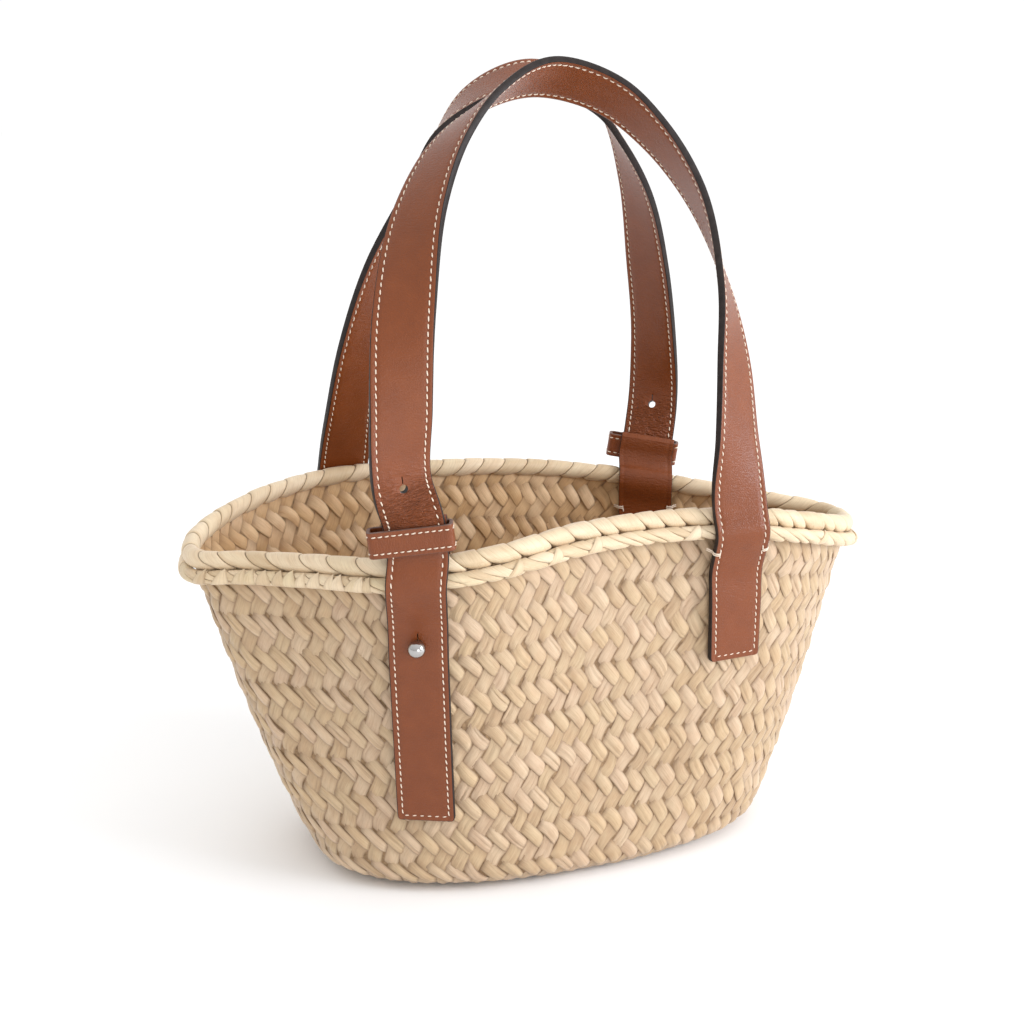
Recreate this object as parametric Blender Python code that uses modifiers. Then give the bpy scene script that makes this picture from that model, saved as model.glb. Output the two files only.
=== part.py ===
"""Straw basket bag with two adjustable leather handles.

Metres, +Z up. The basket stands on z = 0 with the centre of its flat base at
the origin. Its mouth is long in X, and its front faces -Y.
"""
import math
from collections import namedtuple

import bpy
import numpy as np
from mathutils import Matrix

# Basket
MOUTH_LENGTH = 0.404
MOUTH_DEPTH = 0.180
BASKET_HEIGHT = 0.210
BASE_LENGTH = 0.264
BASE_DEPTH = 0.178
BASE_SKEW = 0.0045
BASE_ROUND = 0.015
BASE_SQUARENESS = 0.6
FLARE_POWER = 0.80
WALL = 0.003

# Rolled rim and the cord below it
RIM_ROLL_DIAMETER = 0.0105
RIM_CORD_DIAMETER = 0.008

# Handles
STRAP_WIDTH = 0.032
STRAP_THICKNESS = 0.004
FRONT_LEG_SPACING = 0.187
BACK_LEG_SPACING = 0.194
BACK_HANDLE_SHIFT = 0.004
HANDLE_RISE = 0.231
APEX_SPACING = 0.044
TAIL_DROP = 0.151
TAIL_SWING = 0.003
FIXED_END_DROP = 0.088
SETTLE_LENGTH = 0.022
SPARE_HOLE_SPACING = 0.0915
SPARE_HOLE_DIAMETER = 0.006

# Keepers and the folded tabs that hold them
KEEPER_HEIGHT = 0.0145
KEEPER_THICKNESS = 0.002
KEEPER_CORNER = 0.0012
KEEPER_RISE = 0.013
KEEPER_SHIFT = 0.0025
TAB_WIDTH = 0.034
TAB_THICKNESS = 0.0016
TAB_DROP = 0.062

# Ball studs
STUD_DROP = 0.047
STUD_BALL_DIAMETER = 0.0096
STUD_POST_DIAMETER = 0.0036
STUD_BASE_DIAMETER = 0.011
STUD_BASE_THICKNESS = 0.0012

# Clearances
CLEARANCE = 0.0003
STRAP_EASE = 0.0003
KEEPER_EASE = 0.0008
KEEPER_SIDE_EASE = 0.0035
TAB_EASE = 0.0012

# How finely the curved pieces are faceted
RIM_SEGMENTS = 72
ROW_STEP = 0.010
CORNER_STEPS = 4
FOLD_STEPS = 5
STUD_STEPS = 14
HOLE_SIDES = 14
BALL_STEPS = 8

# The rim's crest, seen from above and from the side. Angles run from +X towards
# +Y. Depth is a share of half the mouth's depth, height of the basket's height.
RimRow = namedtuple("RimRow", "angle depth height")
RIM = [
    RimRow(0, 0.00, 0.862),
    RimRow(15, 0.17, 0.867),
    RimRow(30, 0.32, 0.882),
    RimRow(45, 0.54, 0.903),
    RimRow(60, 0.79, 0.931),
    RimRow(75, 0.95, 0.963),
    RimRow(90, 0.95, 0.990),
    RimRow(105, 0.94, 1.000),
    RimRow(120, 0.90, 1.003),
    RimRow(135, 0.79, 0.979),
    RimRow(150, 0.59, 0.945),
    RimRow(165, 0.31, 0.921),
    RimRow(180, 0.00, 0.911),
    RimRow(195, -0.18, 0.914),
    RimRow(210, -0.30, 0.920),
    RimRow(225, -0.57, 0.930),
    RimRow(240, -0.95, 0.945),
    RimRow(255, -1.03, 0.967),
    RimRow(270, -0.87, 0.989),
    RimRow(285, -0.82, 0.997),
    RimRow(300, -0.86, 0.990),
    RimRow(315, -0.79, 0.953),
    RimRow(330, -0.58, 0.908),
    RimRow(345, -0.29, 0.874),
]

# Rows of the wall above its round bottom edge, as shares of the height between
# that edge and the wall's top, rows round the edge, and rings of the flat base.
WALL_ROWS = [0.09, 0.20, 0.32, 0.45, 0.58, 0.72, 0.86, 1.00]
ROUND_ROWS = [0.00, 0.33, 0.67, 1.00]
BASE_RINGS = [0.70, 0.35]

# The free part of each handle, from its adjustable leg over the apex to its
# fixed leg, in the handle's own frame, where -y points away from the basket's
# middle. Rise is a share of the way from the rim to the apex, across a share of
# half the leg spacing, and lean a share of the way from the leg's foot to the
# apex line. Turn is the angle in degrees by which the strap's face has turned
# from lying across the basket (0) to facing outward (90).
HandleRow = namedtuple("HandleRow", "rise across lean turn")
FRONT_HANDLE = [
    HandleRow(0.17, -1.10, -0.04, 94),
    HandleRow(0.34, -1.10, -0.04, 84),
    HandleRow(0.54, -1.05, 0.07, 62),
    HandleRow(0.74, -0.90, 0.33, 31),
    HandleRow(0.87, -0.68, 0.57, 8),
    HandleRow(0.95, -0.42, 0.77, -14),
    HandleRow(1.00, 0.02, 1.00, -37),
    HandleRow(0.95, 0.40, 0.91, -29),
    HandleRow(0.87, 0.61, 0.78, -16),
    HandleRow(0.74, 0.82, 0.62, 0),
    HandleRow(0.54, 0.96, 0.41, 27),
    HandleRow(0.34, 1.01, 0.27, 54),
    HandleRow(0.17, 1.00, 0.12, 68),
]
BACK_HANDLE = [
    HandleRow(0.17, -1.10, -0.15, 55),
    HandleRow(0.34, -1.08, -0.08, 36),
    HandleRow(0.54, -0.98, 0.11, 26),
    HandleRow(0.74, -0.82, 0.39, 6),
    HandleRow(0.87, -0.63, 0.63, -15),
    HandleRow(0.95, -0.44, 0.83, -28),
    HandleRow(1.00, -0.05, 1.00, -33),
    HandleRow(0.95, 0.35, 1.00, -8),
    HandleRow(0.87, 0.53, 0.94, 15),
    HandleRow(0.74, 0.64, 0.86, 34),
    HandleRow(0.54, 0.84, 0.72, 51),
    HandleRow(0.34, 0.96, 0.54, 61),
    HandleRow(0.17, 1.00, 0.30, 70),
]

# Step over which the wall's slopes are measured
PROBE = 0.0005
# Angles at which the tab bends round the inside of the rim roll, in degrees
ROLL_BENDS = [68, 45, 22, 0]
# How far below the keeper's middle the tab's short end and its long run begin,
# as shares of half the keeper's height
SHORT_END_REACH = 0.8
LONG_RUN_REACH = 0.4
# Rounds in which the place of a leg on the wall is found
LEG_STEPS = 6

WallFrame = namedtuple("WallFrame", "point out up along")
Handle = namedtuple("Handle", "name facing spacing shift rows")
HANDLES = [
    Handle("front", 1, FRONT_LEG_SPACING, 0.0, FRONT_HANDLE),
    Handle("back", -1, BACK_LEG_SPACING, BACK_HANDLE_SHIFT, BACK_HANDLE),
]


def unit(vector):
    return vector / np.linalg.norm(vector)


def smooth_path(knots, values, step):
    """Points and tangents of a smooth curve through values, a row per step."""
    slopes = np.gradient(values, knots, axis=0)
    points = []
    tangents = []
    last = len(knots) - 2
    for i in range(last + 1):
        span = knots[i + 1] - knots[i]
        count = max(1, round(span / step))
        start, end = values[i], values[i + 1]
        leave, arrive = slopes[i] * span, slopes[i + 1] * span
        for j in range(count + (i == last)):
            u = j / count
            points.append(
                start * (2 * u ** 3 - 3 * u ** 2 + 1)
                + leave * (u ** 3 - 2 * u ** 2 + u)
                + end * (3 * u ** 2 - 2 * u ** 3)
                + arrive * (u ** 3 - u ** 2)
            )
            tangents.append(
                (start - end) * (6 * u ** 2 - 6 * u)
                + leave * (3 * u ** 2 - 4 * u + 1)
                + arrive * (3 * u ** 2 - 2 * u)
            )
    return np.array(points), np.array(tangents)


def rim_at(angle):
    """Depth (y) and height (z) of the rim's crest at an angle in radians."""
    place = angle / (2 * math.pi) * len(RIM) % len(RIM)
    i = int(place)
    u = place - i
    rows = [RIM[(i + k) % len(RIM)] for k in (-1, 0, 1, 2)]
    sizes = []
    for size, column in ((MOUTH_DEPTH / 2, "depth"), (BASKET_HEIGHT, "height")):
        a, b, c, d = (getattr(row, column) for row in rows)
        share = b + 0.5 * (
            (c - a) * u
            + (2 * a - 5 * b + 4 * c - d) * u ** 2
            + (3 * b - a - 3 * c + d) * u ** 3
        )
        sizes.append(size * share)
    return sizes


def wall_point(angle, height):
    """Outer face of the wall at an angle and a height above the floor."""
    rim_y, crest = rim_at(angle)
    tuck = 0.0
    if height < BASE_ROUND:
        tuck = BASE_ROUND - math.sqrt(BASE_ROUND ** 2 - (BASE_ROUND - height) ** 2)
    cosine, sine = math.cos(angle), math.sin(angle)
    base_x = (BASE_LENGTH / 2 - tuck) * cosine
    base_y = (BASE_DEPTH / 2 - tuck) * math.copysign(abs(sine) ** BASE_SQUARENESS, sine)
    base_y += BASE_SKEW * cosine
    flare = (height / crest) ** FLARE_POWER
    return np.array([
        base_x + (MOUTH_LENGTH / 2 * cosine - base_x) * flare,
        base_y + (rim_y - base_y) * flare,
        height,
    ])


def wall_frame(angle, height):
    """Point, outward and upward directions of the wall's outer face."""
    turn = PROBE / MOUTH_LENGTH
    along = wall_point(angle + turn, height) - wall_point(angle - turn, height)
    up = unit(wall_point(angle, height + PROBE) - wall_point(angle, height - PROBE))
    return WallFrame(wall_point(angle, height), unit(np.cross(along, up)), up, along / (2 * turn))


def leg_frame(angle, drop, swing=0.0):
    """Frame of the wall where a leg that hangs square to the rim is a drop below it.

    A tail swings aside below its stud, by the given amount at its end.
    """
    height = rim_at(angle)[1] - drop
    foot = wall_frame(angle, rim_at(angle)[1])
    side = unit(foot.along)
    aside = swing * max(0.0, drop - STUD_DROP) / (TAIL_DROP - STUD_DROP)
    for step in range(LEG_STEPS):
        frame = wall_frame(angle, height)
        slip = (frame.point - foot.point) @ side - aside
        angle -= slip / (frame.along @ side)
    return wall_frame(angle, height)


def wall_top(angle):
    """Height of the wall's top edge, just below the rim roll."""
    return rim_at(angle)[1] - RIM_ROLL_DIAMETER - CLEARANCE


def cord_place():
    """How far the cord's centre lies outside the wall, and below the crest."""
    standoff = RIM_CORD_DIAMETER / 2 + CLEARANCE
    across = standoff + WALL / 2
    apart = (RIM_ROLL_DIAMETER + RIM_CORD_DIAMETER) / 2 + CLEARANCE
    return standoff, RIM_ROLL_DIAMETER / 2 + math.sqrt(apart ** 2 - across ** 2)


def material(name, colour, roughness, metallic=0.0):
    made = bpy.data.materials.new(name)
    made.use_nodes = True
    shader = made.node_tree.nodes["Principled BSDF"]
    shader.inputs["Base Color"].default_value = (*colour, 1.0)
    shader.inputs["Roughness"].default_value = roughness
    shader.inputs["Metallic"].default_value = metallic
    return made


def add_mesh(name, points, faces, finish, collection):
    mesh = bpy.data.meshes.new(name)
    mesh.from_pydata([tuple(p) for p in points], [], faces)
    mesh.materials.append(finish)
    mesh.shade_smooth()
    mesh.set_sharp_from_angle(angle=math.radians(40))
    made = bpy.data.objects.new(name, mesh)
    collection.objects.link(made)
    return made


def add_thickness(piece, thickness, offset):
    shell = piece.modifiers.new("thickness", "SOLIDIFY")
    shell.thickness = thickness
    shell.offset = offset
    shell.use_even_offset = True


def grid_faces(rows, columns, closed=False):
    """Quads between the rows of a grid, with its columns joined round if closed."""
    faces = []
    for i in range(rows - 1):
        for j in range(columns if closed else columns - 1):
            k = (j + 1) % columns
            faces.append((
                i * columns + j, i * columns + k, (i + 1) * columns + k, (i + 1) * columns + j
            ))
    return faces


def add_body(straw, collection):
    """The woven wall and base: an open shell, thickened inward."""
    angles = [2 * math.pi * i / RIM_SEGMENTS for i in range(RIM_SEGMENTS)]
    points = [(0.0, 0.0, 0.0)]
    for share in reversed(BASE_RINGS):
        points += [wall_point(angle, 0.0) * share for angle in angles]
    for share in ROUND_ROWS:
        height = BASE_ROUND * (1 - math.cos(share * math.pi / 2))
        points += [wall_point(angle, height) for angle in angles]
    for share in WALL_ROWS:
        for angle in angles:
            height = BASE_ROUND + share * (wall_top(angle) - BASE_ROUND)
            points.append(wall_point(angle, height))
    rows = len(BASE_RINGS) + len(ROUND_ROWS) + len(WALL_ROWS)
    faces = [tuple(k + 1 for k in face) for face in grid_faces(rows, RIM_SEGMENTS, closed=True)]
    faces += [(0, (j + 1) % RIM_SEGMENTS + 1, j + 1) for j in range(RIM_SEGMENTS)]
    body = add_mesh("basket_body", points, faces, straw, collection)
    add_thickness(body, WALL, -1.0)
    return body


def add_rim_tube(name, diameter, standoff, drop, straw, collection):
    """A round roll that follows the rim at a standoff from the wall."""
    path = bpy.data.curves.new(name, "CURVE")
    path.dimensions = "3D"
    path.bevel_depth = diameter / 2
    path.bevel_resolution = 2
    ring = path.splines.new("POLY")
    ring.points.add(RIM_SEGMENTS - 1)
    ring.use_cyclic_u = True
    for i, point in enumerate(ring.points):
        angle = 2 * math.pi * i / RIM_SEGMENTS
        frame = wall_frame(angle, rim_at(angle)[1] - drop)
        point.co = (*(frame.point + frame.out * standoff), 1.0)
    path.materials.append(straw)
    made = bpy.data.objects.new(name, path)
    collection.objects.link(made)
    return made


def leg_angle(handle, side):
    """Angle on the rim at which a leg stands; side is -1 adjustable, 1 fixed."""
    across = handle.facing * (handle.shift * handle.facing + side * handle.spacing / 2)
    return -handle.facing * math.acos(across / (MOUTH_LENGTH / 2)) % (2 * math.pi)


def rim_face():
    """How far the rim roll's outermost face stands off the wall's outer face."""
    return (RIM_ROLL_DIAMETER - WALL) / 2


def strap_standoff():
    """Standoff of the strap's middle where it passes the rim roll and the keeper."""
    return rim_face() + CLEARANCE + STRAP_EASE + STRAP_THICKNESS / 2


def keeper_frame(angle):
    """Middle of the strap at the keeper, with its side, out and up directions."""
    frame = leg_frame(angle, -KEEPER_RISE)
    side = unit(np.cross(frame.out, frame.up))
    return frame.point + frame.out * strap_standoff(), side, frame.out, frame.up


def leg_rows(angle, end_drop, kept):
    """Centres and outward directions of a leg, from its end up to the rim or keeper."""
    lie = CLEARANCE + STRAP_EASE + STRAP_THICKNESS / 2
    cord_standoff, cord_drop = cord_place()
    over_cord = cord_standoff + RIM_CORD_DIAMETER / 2 + lie
    settled = cord_drop + SETTLE_LENGTH
    stretch = end_drop - settled
    count = max(1, round(stretch / (2 * ROW_STEP)))
    rows = [(end_drop - stretch * i / count, lie) for i in range(count + 1)]
    rows.append((cord_drop + SETTLE_LENGTH / 2, (lie + over_cord) / 2))
    rows.append((cord_drop, over_cord))
    if not kept:
        rows.append((0.0, strap_standoff()))
    frames = []
    for drop, standoff in rows:
        frame = leg_frame(angle, drop, TAIL_SWING if kept else 0.0)
        frames.append((frame.point + frame.out * standoff, frame.out))
    if kept:
        centre, side, out, up = keeper_frame(angle)
        half = KEEPER_HEIGHT / 2 + CLEARANCE
        frames += [(centre + up * reach, out) for reach in (-half, 0.0, half)]
    return frames


def handle_frame(handle):
    """Turns the handle's own frame to the front (facing 1) or the back (-1)."""
    return np.array([handle.facing, handle.facing, 1.0])


def strap_rows(handle):
    """Centre, direction and width direction of each row of a handle's strap."""
    turn = handle_frame(handle)
    adjustable = leg_rows(leg_angle(handle, -1), TAIL_DROP, kept=True)
    fixed = leg_rows(leg_angle(handle, 1), FIXED_END_DROP, kept=False)
    feet = [wall_frame(a, rim_at(a)[1]) for a in (leg_angle(handle, -1), leg_angle(handle, 1))]
    feet = [(foot.point + foot.out * strap_standoff()) * turn for foot in feet]
    apex = np.array([0.0, -APEX_SPACING / 2, BASKET_HEIGHT + HANDLE_RISE])
    top = [row.rise for row in handle.rows].index(1.0)
    free = []
    for i, row in enumerate(handle.rows):
        foot = feet[0] if i < top else feet[1] if i > top else apex
        free.append(np.array([
            row.across * handle.spacing / 2 + handle.shift * handle.facing,
            foot[1] + row.lean * (apex[1] - foot[1]),
            foot[2] + row.rise * (apex[2] - foot[2]),
        ]) * turn)
    held = adjustable + fixed[::-1]
    start = len(adjustable)
    centres = [c for c, out in adjustable] + free + [c for c, out in fixed[::-1]]
    knots = np.concatenate([[0.0], np.cumsum(np.linalg.norm(np.diff(centres, axis=0), axis=1))])
    slopes = np.gradient(np.array(centres), knots, axis=0)
    across = []
    for i, slope in enumerate(slopes):
        along = unit(slope)
        if start <= i < start + len(free):
            flat = np.array([0.0, handle.facing, 0.0])
            flat = unit(flat - along * (flat @ along))
            bend = math.radians(handle.rows[i - start].turn)
            across.append(flat * math.cos(bend) + np.cross(along, flat) * math.sin(bend))
        else:
            out = held[i if i < start else i - len(free)][1]
            across.append(unit(np.cross(out, along)))
    points, tangents = smooth_path(knots, np.hstack([centres, across]), ROW_STEP)
    rows = []
    for point, tangent in zip(points, tangents):
        along = unit(tangent[:3])
        rows.append((point[:3], along, unit(point[3:] - along * (point[3:] @ along))))
    return rows


def add_strap(handle, leather, collection):
    """The whole handle strap: a flat twisted sheet, thickened to both sides."""
    points = []
    rows = strap_rows(handle)
    for centre, along, across in rows:
        points.append(centre + across * STRAP_WIDTH / 2)
        points.append(centre - across * STRAP_WIDTH / 2)
    faces = grid_faces(len(rows), 2)
    strap = add_mesh(handle.name + "_strap", points, faces, leather, collection)
    add_thickness(strap, STRAP_THICKNESS, 0.0)
    return strap


def add_keeper(handle, leather, collection):
    """A band closed round the strap and the tab's front layer, hanging towards -X."""
    origin, side, out, up = keeper_frame(leg_angle(handle, -1))
    origin = origin + side * handle.facing * KEEPER_SHIFT
    half_width = TAB_WIDTH / 2 + KEEPER_SIDE_EASE
    back = -(STRAP_THICKNESS / 2 + TAB_THICKNESS + 2 * CLEARANCE)
    front = STRAP_THICKNESS / 2 + KEEPER_EASE
    outline = []
    corners = [
        (half_width, back, -90), (half_width, front, 0),
        (-half_width, front, 90), (-half_width, back, 180),
    ]
    for x, y, start in corners:
        x -= math.copysign(KEEPER_CORNER, x)
        y += KEEPER_CORNER if y == back else -KEEPER_CORNER
        for i in range(CORNER_STEPS + 1):
            angle = math.radians(start + 90 * i / CORNER_STEPS)
            outline.append((
                x + KEEPER_CORNER * math.cos(angle), y + KEEPER_CORNER * math.sin(angle)
            ))
    points = []
    for height in (-KEEPER_HEIGHT / 2, KEEPER_HEIGHT / 2):
        points += [origin + side * x + out * y + up * height for x, y in outline]
    faces = grid_faces(2, len(outline), closed=True)
    keeper = add_mesh(handle.name + "_keeper", points, faces, leather, collection)
    add_thickness(keeper, KEEPER_THICKNESS, 1.0)
    return keeper


def wall_sag(leg, drop, half_width):
    """How far the wall falls back from its tangent plane at half a piece's width."""
    frame = leg_frame(leg, drop)
    angle = leg
    spread = half_width / np.linalg.norm(frame.along)
    height = frame.point[2]
    for step in range(LEG_STEPS):
        there = wall_frame(angle, height)
        angle -= (there.point - frame.point) @ unit(frame.along) / (there.along @ unit(frame.along))
    sides = [wall_point(angle + reach, height) for reach in (-spread, spread)]
    return max(0.0, max((frame.point - side) @ frame.out for side in sides))


def tab_gap(handle):
    """Room between the wall's inner face and the middle of the flat tab."""
    angle = leg_angle(handle, -1)
    sags = [wall_sag(angle, drop, TAB_WIDTH / 2) for drop in (0.0, STUD_DROP, TAB_DROP)]
    return TAB_EASE + max(sags)


def tab_path(handle):
    """Points and width directions of the tab's keeper-side face, from the fold down."""
    leg = leg_angle(handle, -1)
    origin, side, out, up = keeper_frame(leg)
    gap = tab_gap(handle)
    half = KEEPER_HEIGHT / 2
    front = -(STRAP_THICKNESS / 2 + TAB_THICKNESS + CLEARANCE)
    rear = front - KEEPER_THICKNESS - 2 * CLEARANCE
    middle, radius = (front + rear) / 2, (front - rear) / 2
    fold = [(front, -half * SHORT_END_REACH)]
    for i in range(FOLD_STEPS + 1):
        turn = math.pi * i / FOLD_STEPS
        fold.append((
            middle + radius * math.cos(turn),
            half + CLEARANCE - radius / 2 + radius * math.sin(turn),
        ))
    fold.append((rear, -half * LONG_RUN_REACH))
    path = [(origin + out * x + up * y, side) for x, y in fold]
    roll_drop = RIM_ROLL_DIAMETER / 2
    clear = roll_drop + gap
    hung = []
    for turn in ROLL_BENDS:
        bend = math.radians(turn)
        hung.append((roll_drop - clear * math.sin(bend), WALL / 2 + clear * math.cos(bend), 0.0))
    disc = STUD_BASE_DIAMETER / 2
    hung.append((RIM_ROLL_DIAMETER + SETTLE_LENGTH / 2, WALL + gap, 0.0))
    hung += [(STUD_DROP, WALL + gap, disc), (STUD_DROP, WALL + gap, -disc)]
    hung.append((TAB_DROP, WALL + gap, 0.0))
    for drop, inside, reach in hung:
        frame = leg_frame(leg, drop)
        point = frame.point - frame.out * inside + frame.up * reach
        path.append((point, unit(np.cross(frame.out, frame.up))))
    return path


def add_tab(handle, leather, collection):
    """The tab inside the wall, folded over the keeper's back run."""
    path = tab_path(handle)
    points = []
    for point, side in path:
        points.append(point + side * TAB_WIDTH / 2)
        points.append(point - side * TAB_WIDTH / 2)
    faces = grid_faces(len(path), 2)
    tab = add_mesh(handle.name + "_tab", points, faces, leather, collection)
    add_thickness(tab, TAB_THICKNESS, 1.0)
    return tab


def axis_matrix(origin, out, up):
    """Placement whose Z axis points out and whose Y axis is close to up."""
    side = unit(np.cross(up, out))
    true_up = np.cross(out, side)
    matrix = Matrix.Identity(4)
    for i, column in enumerate((side, true_up, out, origin)):
        for j in range(3):
            matrix[j][i] = column[j]
    return matrix


def add_stud(handle, steel, collection):
    """A ball stud turned in one piece: base disc, post and ball."""
    frame = leg_frame(leg_angle(handle, -1), STUD_DROP)
    ball = STUD_BALL_DIAMETER / 2
    post = STUD_POST_DIAMETER / 2
    seat = 2 * CLEARANCE + STRAP_EASE + STRAP_THICKNESS
    neck = math.acos(post / ball)
    centre = seat + ball * math.sin(neck)
    disc_top = -(WALL + tab_gap(handle) + TAB_THICKNESS + CLEARANCE)
    disc_bottom = disc_top - STUD_BASE_THICKNESS
    profile = []
    for i in range(BALL_STEPS + 1):
        angle = math.pi / 2 - (math.pi / 2 + neck) * i / BALL_STEPS
        profile.append((ball * math.cos(angle) if i else 0.0, centre + ball * math.sin(angle)))
    profile += [
        (post, disc_top), (STUD_BASE_DIAMETER / 2, disc_top),
        (STUD_BASE_DIAMETER / 2, disc_bottom), (0.0, disc_bottom),
    ]
    mesh = bpy.data.meshes.new(handle.name + "_stud")
    edges = [(i, i + 1) for i in range(len(profile) - 1)]
    mesh.from_pydata([(r, 0.0, z) for r, z in profile], edges, [])
    mesh.materials.append(steel)
    stud = bpy.data.objects.new(handle.name + "_stud", mesh)
    collection.objects.link(stud)
    turned = stud.modifiers.new("turned", "SCREW")
    turned.steps = STUD_STEPS
    turned.render_steps = STUD_STEPS
    turned.use_merge_vertices = True
    turned.merge_threshold = 0.00001
    turned.use_smooth_shade = True
    stud.matrix_world = axis_matrix(frame.point, frame.out, frame.up)
    return stud


def add_cutter(name, radius, depth, placement, collection):
    bpy.ops.mesh.primitive_cylinder_add(vertices=HOLE_SIDES, radius=radius, depth=depth)
    cutter = bpy.context.object
    cutter.name = name
    for other in cutter.users_collection:
        other.objects.unlink(cutter)
    collection.objects.link(cutter)
    cutter.matrix_world = placement
    cutter.hide_render = True
    cutter.display_type = "WIRE"
    return cutter


def cut(piece, cutter):
    hole = piece.modifiers.new(cutter.name, "BOOLEAN")
    hole.operation = "DIFFERENCE"
    hole.solver = "EXACT"
    hole.object = cutter


def stud_cutter(handle, collection):
    """Hole for the stud's post, through the tab, the wall and the strap."""
    frame = leg_frame(leg_angle(handle, -1), STUD_DROP)
    reach = 2 * (WALL + tab_gap(handle) + TAB_THICKNESS + STRAP_THICKNESS)
    radius = STUD_POST_DIAMETER / 2 + CLEARANCE
    placement = axis_matrix(frame.point, frame.out, frame.up)
    return add_cutter(handle.name + "_stud_hole", radius, 2 * reach, placement, collection)


def spare_cutter(handle, collection):
    """The strap's spare adjusting hole, a spacing above the stud."""
    stud = leg_frame(leg_angle(handle, -1), STUD_DROP)
    rows = strap_rows(handle)
    start = min(range(len(rows)), key=lambda i: np.linalg.norm(rows[i][0] - stud.point))
    travelled = 0.0
    i = start
    while travelled < SPARE_HOLE_SPACING:
        travelled += np.linalg.norm(rows[i + 1][0] - rows[i][0])
        i += 1
    back = travelled - SPARE_HOLE_SPACING
    centre, along, across = rows[i]
    placement = axis_matrix(centre - along * back, unit(np.cross(along, across)), along)
    name = handle.name + "_spare_hole"
    return add_cutter(name, SPARE_HOLE_DIAMETER / 2, 4 * STRAP_THICKNESS, placement, collection)


def build():
    for old in list(bpy.data.objects):
        bpy.data.objects.remove(old, do_unlink=True)
    bag = bpy.data.collections.new("straw_basket_bag")
    cutters = bpy.data.collections.new("cutters")
    bpy.context.scene.collection.children.link(bag)
    bpy.context.scene.collection.children.link(cutters)
    woven = material("woven_straw", (0.72, 0.55, 0.35), 0.75)
    wrapped = material("wrapped_straw", (0.76, 0.60, 0.40), 0.7)
    leather = material("tan_leather", (0.36, 0.13, 0.06), 0.45)
    steel = material("polished_steel", (0.80, 0.80, 0.78), 0.15, 1.0)
    body = add_body(woven, bag)
    add_rim_tube("rim_roll", RIM_ROLL_DIAMETER, -WALL / 2, RIM_ROLL_DIAMETER / 2, wrapped, bag)
    cord_standoff, cord_drop = cord_place()
    add_rim_tube("rim_cord", RIM_CORD_DIAMETER, cord_standoff, cord_drop, wrapped, bag)
    for handle in HANDLES:
        strap = add_strap(handle, leather, bag)
        tab = add_tab(handle, leather, bag)
        add_keeper(handle, leather, bag)
        add_stud(handle, steel, bag)
        post_hole = stud_cutter(handle, cutters)
        for piece in (body, strap, tab):
            cut(piece, post_hole)
        cut(strap, spare_cutter(handle, cutters))


build()
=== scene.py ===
"""Visual model of the straw basket bag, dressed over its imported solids.

Metres, +Z up, in the solids' own frame: the basket stands on z = 0 with the
centre of its base at the origin, and its front faces -Y.
"""
import math
from collections import namedtuple

import bpy
import numpy as np
from mathutils import Matrix


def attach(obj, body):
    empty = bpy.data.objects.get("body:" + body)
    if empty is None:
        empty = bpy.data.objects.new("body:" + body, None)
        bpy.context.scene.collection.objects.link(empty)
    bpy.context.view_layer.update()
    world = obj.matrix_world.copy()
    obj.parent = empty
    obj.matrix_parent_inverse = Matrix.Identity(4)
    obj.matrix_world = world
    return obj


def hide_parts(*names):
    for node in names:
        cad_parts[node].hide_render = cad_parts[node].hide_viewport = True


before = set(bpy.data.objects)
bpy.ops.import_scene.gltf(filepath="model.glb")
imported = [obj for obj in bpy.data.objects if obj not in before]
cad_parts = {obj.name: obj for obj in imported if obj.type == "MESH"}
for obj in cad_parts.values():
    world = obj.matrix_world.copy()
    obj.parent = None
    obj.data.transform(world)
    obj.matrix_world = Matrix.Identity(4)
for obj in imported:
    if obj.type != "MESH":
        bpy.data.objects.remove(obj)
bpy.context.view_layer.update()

# Basket
MOUTH_LENGTH = 0.404
MOUTH_DEPTH = 0.180
BASKET_HEIGHT = 0.210
BASE_LENGTH = 0.264
BASE_DEPTH = 0.178
BASE_SKEW = 0.0045
BASE_ROUND = 0.015
BASE_SQUARENESS = 0.6
FLARE_POWER = 0.80
WALL = 0.003
RIM_ROLL_DIAMETER = 0.0105
RIM_CORD_DIAMETER = 0.008

# Handles
STRAP_WIDTH = 0.032
STRAP_THICKNESS = 0.004
FRONT_LEG_SPACING = 0.187
BACK_LEG_SPACING = 0.194
BACK_HANDLE_SHIFT = 0.004
HANDLE_RISE = 0.231
APEX_SPACING = 0.044
TAIL_DROP = 0.151
TAIL_SWING = 0.003
FIXED_END_DROP = 0.088
SETTLE_LENGTH = 0.022
SPARE_HOLE_SPACING = 0.0915

# Keepers, tabs and studs
KEEPER_HEIGHT = 0.0145
KEEPER_THICKNESS = 0.002
KEEPER_CORNER = 0.0012
KEEPER_RISE = 0.013
KEEPER_SHIFT = 0.0025
TAB_WIDTH = 0.034
TAB_THICKNESS = 0.0016
TAB_DROP = 0.062
STUD_DROP = 0.047
STUD_BALL_DIAMETER = 0.0096
STUD_POST_DIAMETER = 0.0036
STUD_BASE_DIAMETER = 0.011
STUD_BASE_THICKNESS = 0.0012

# Clearances between the solids
CLEARANCE = 0.0003
STRAP_EASE = 0.0003
KEEPER_EASE = 0.0008
KEEPER_SIDE_EASE = 0.0035
TAB_EASE = 0.0012

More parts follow.
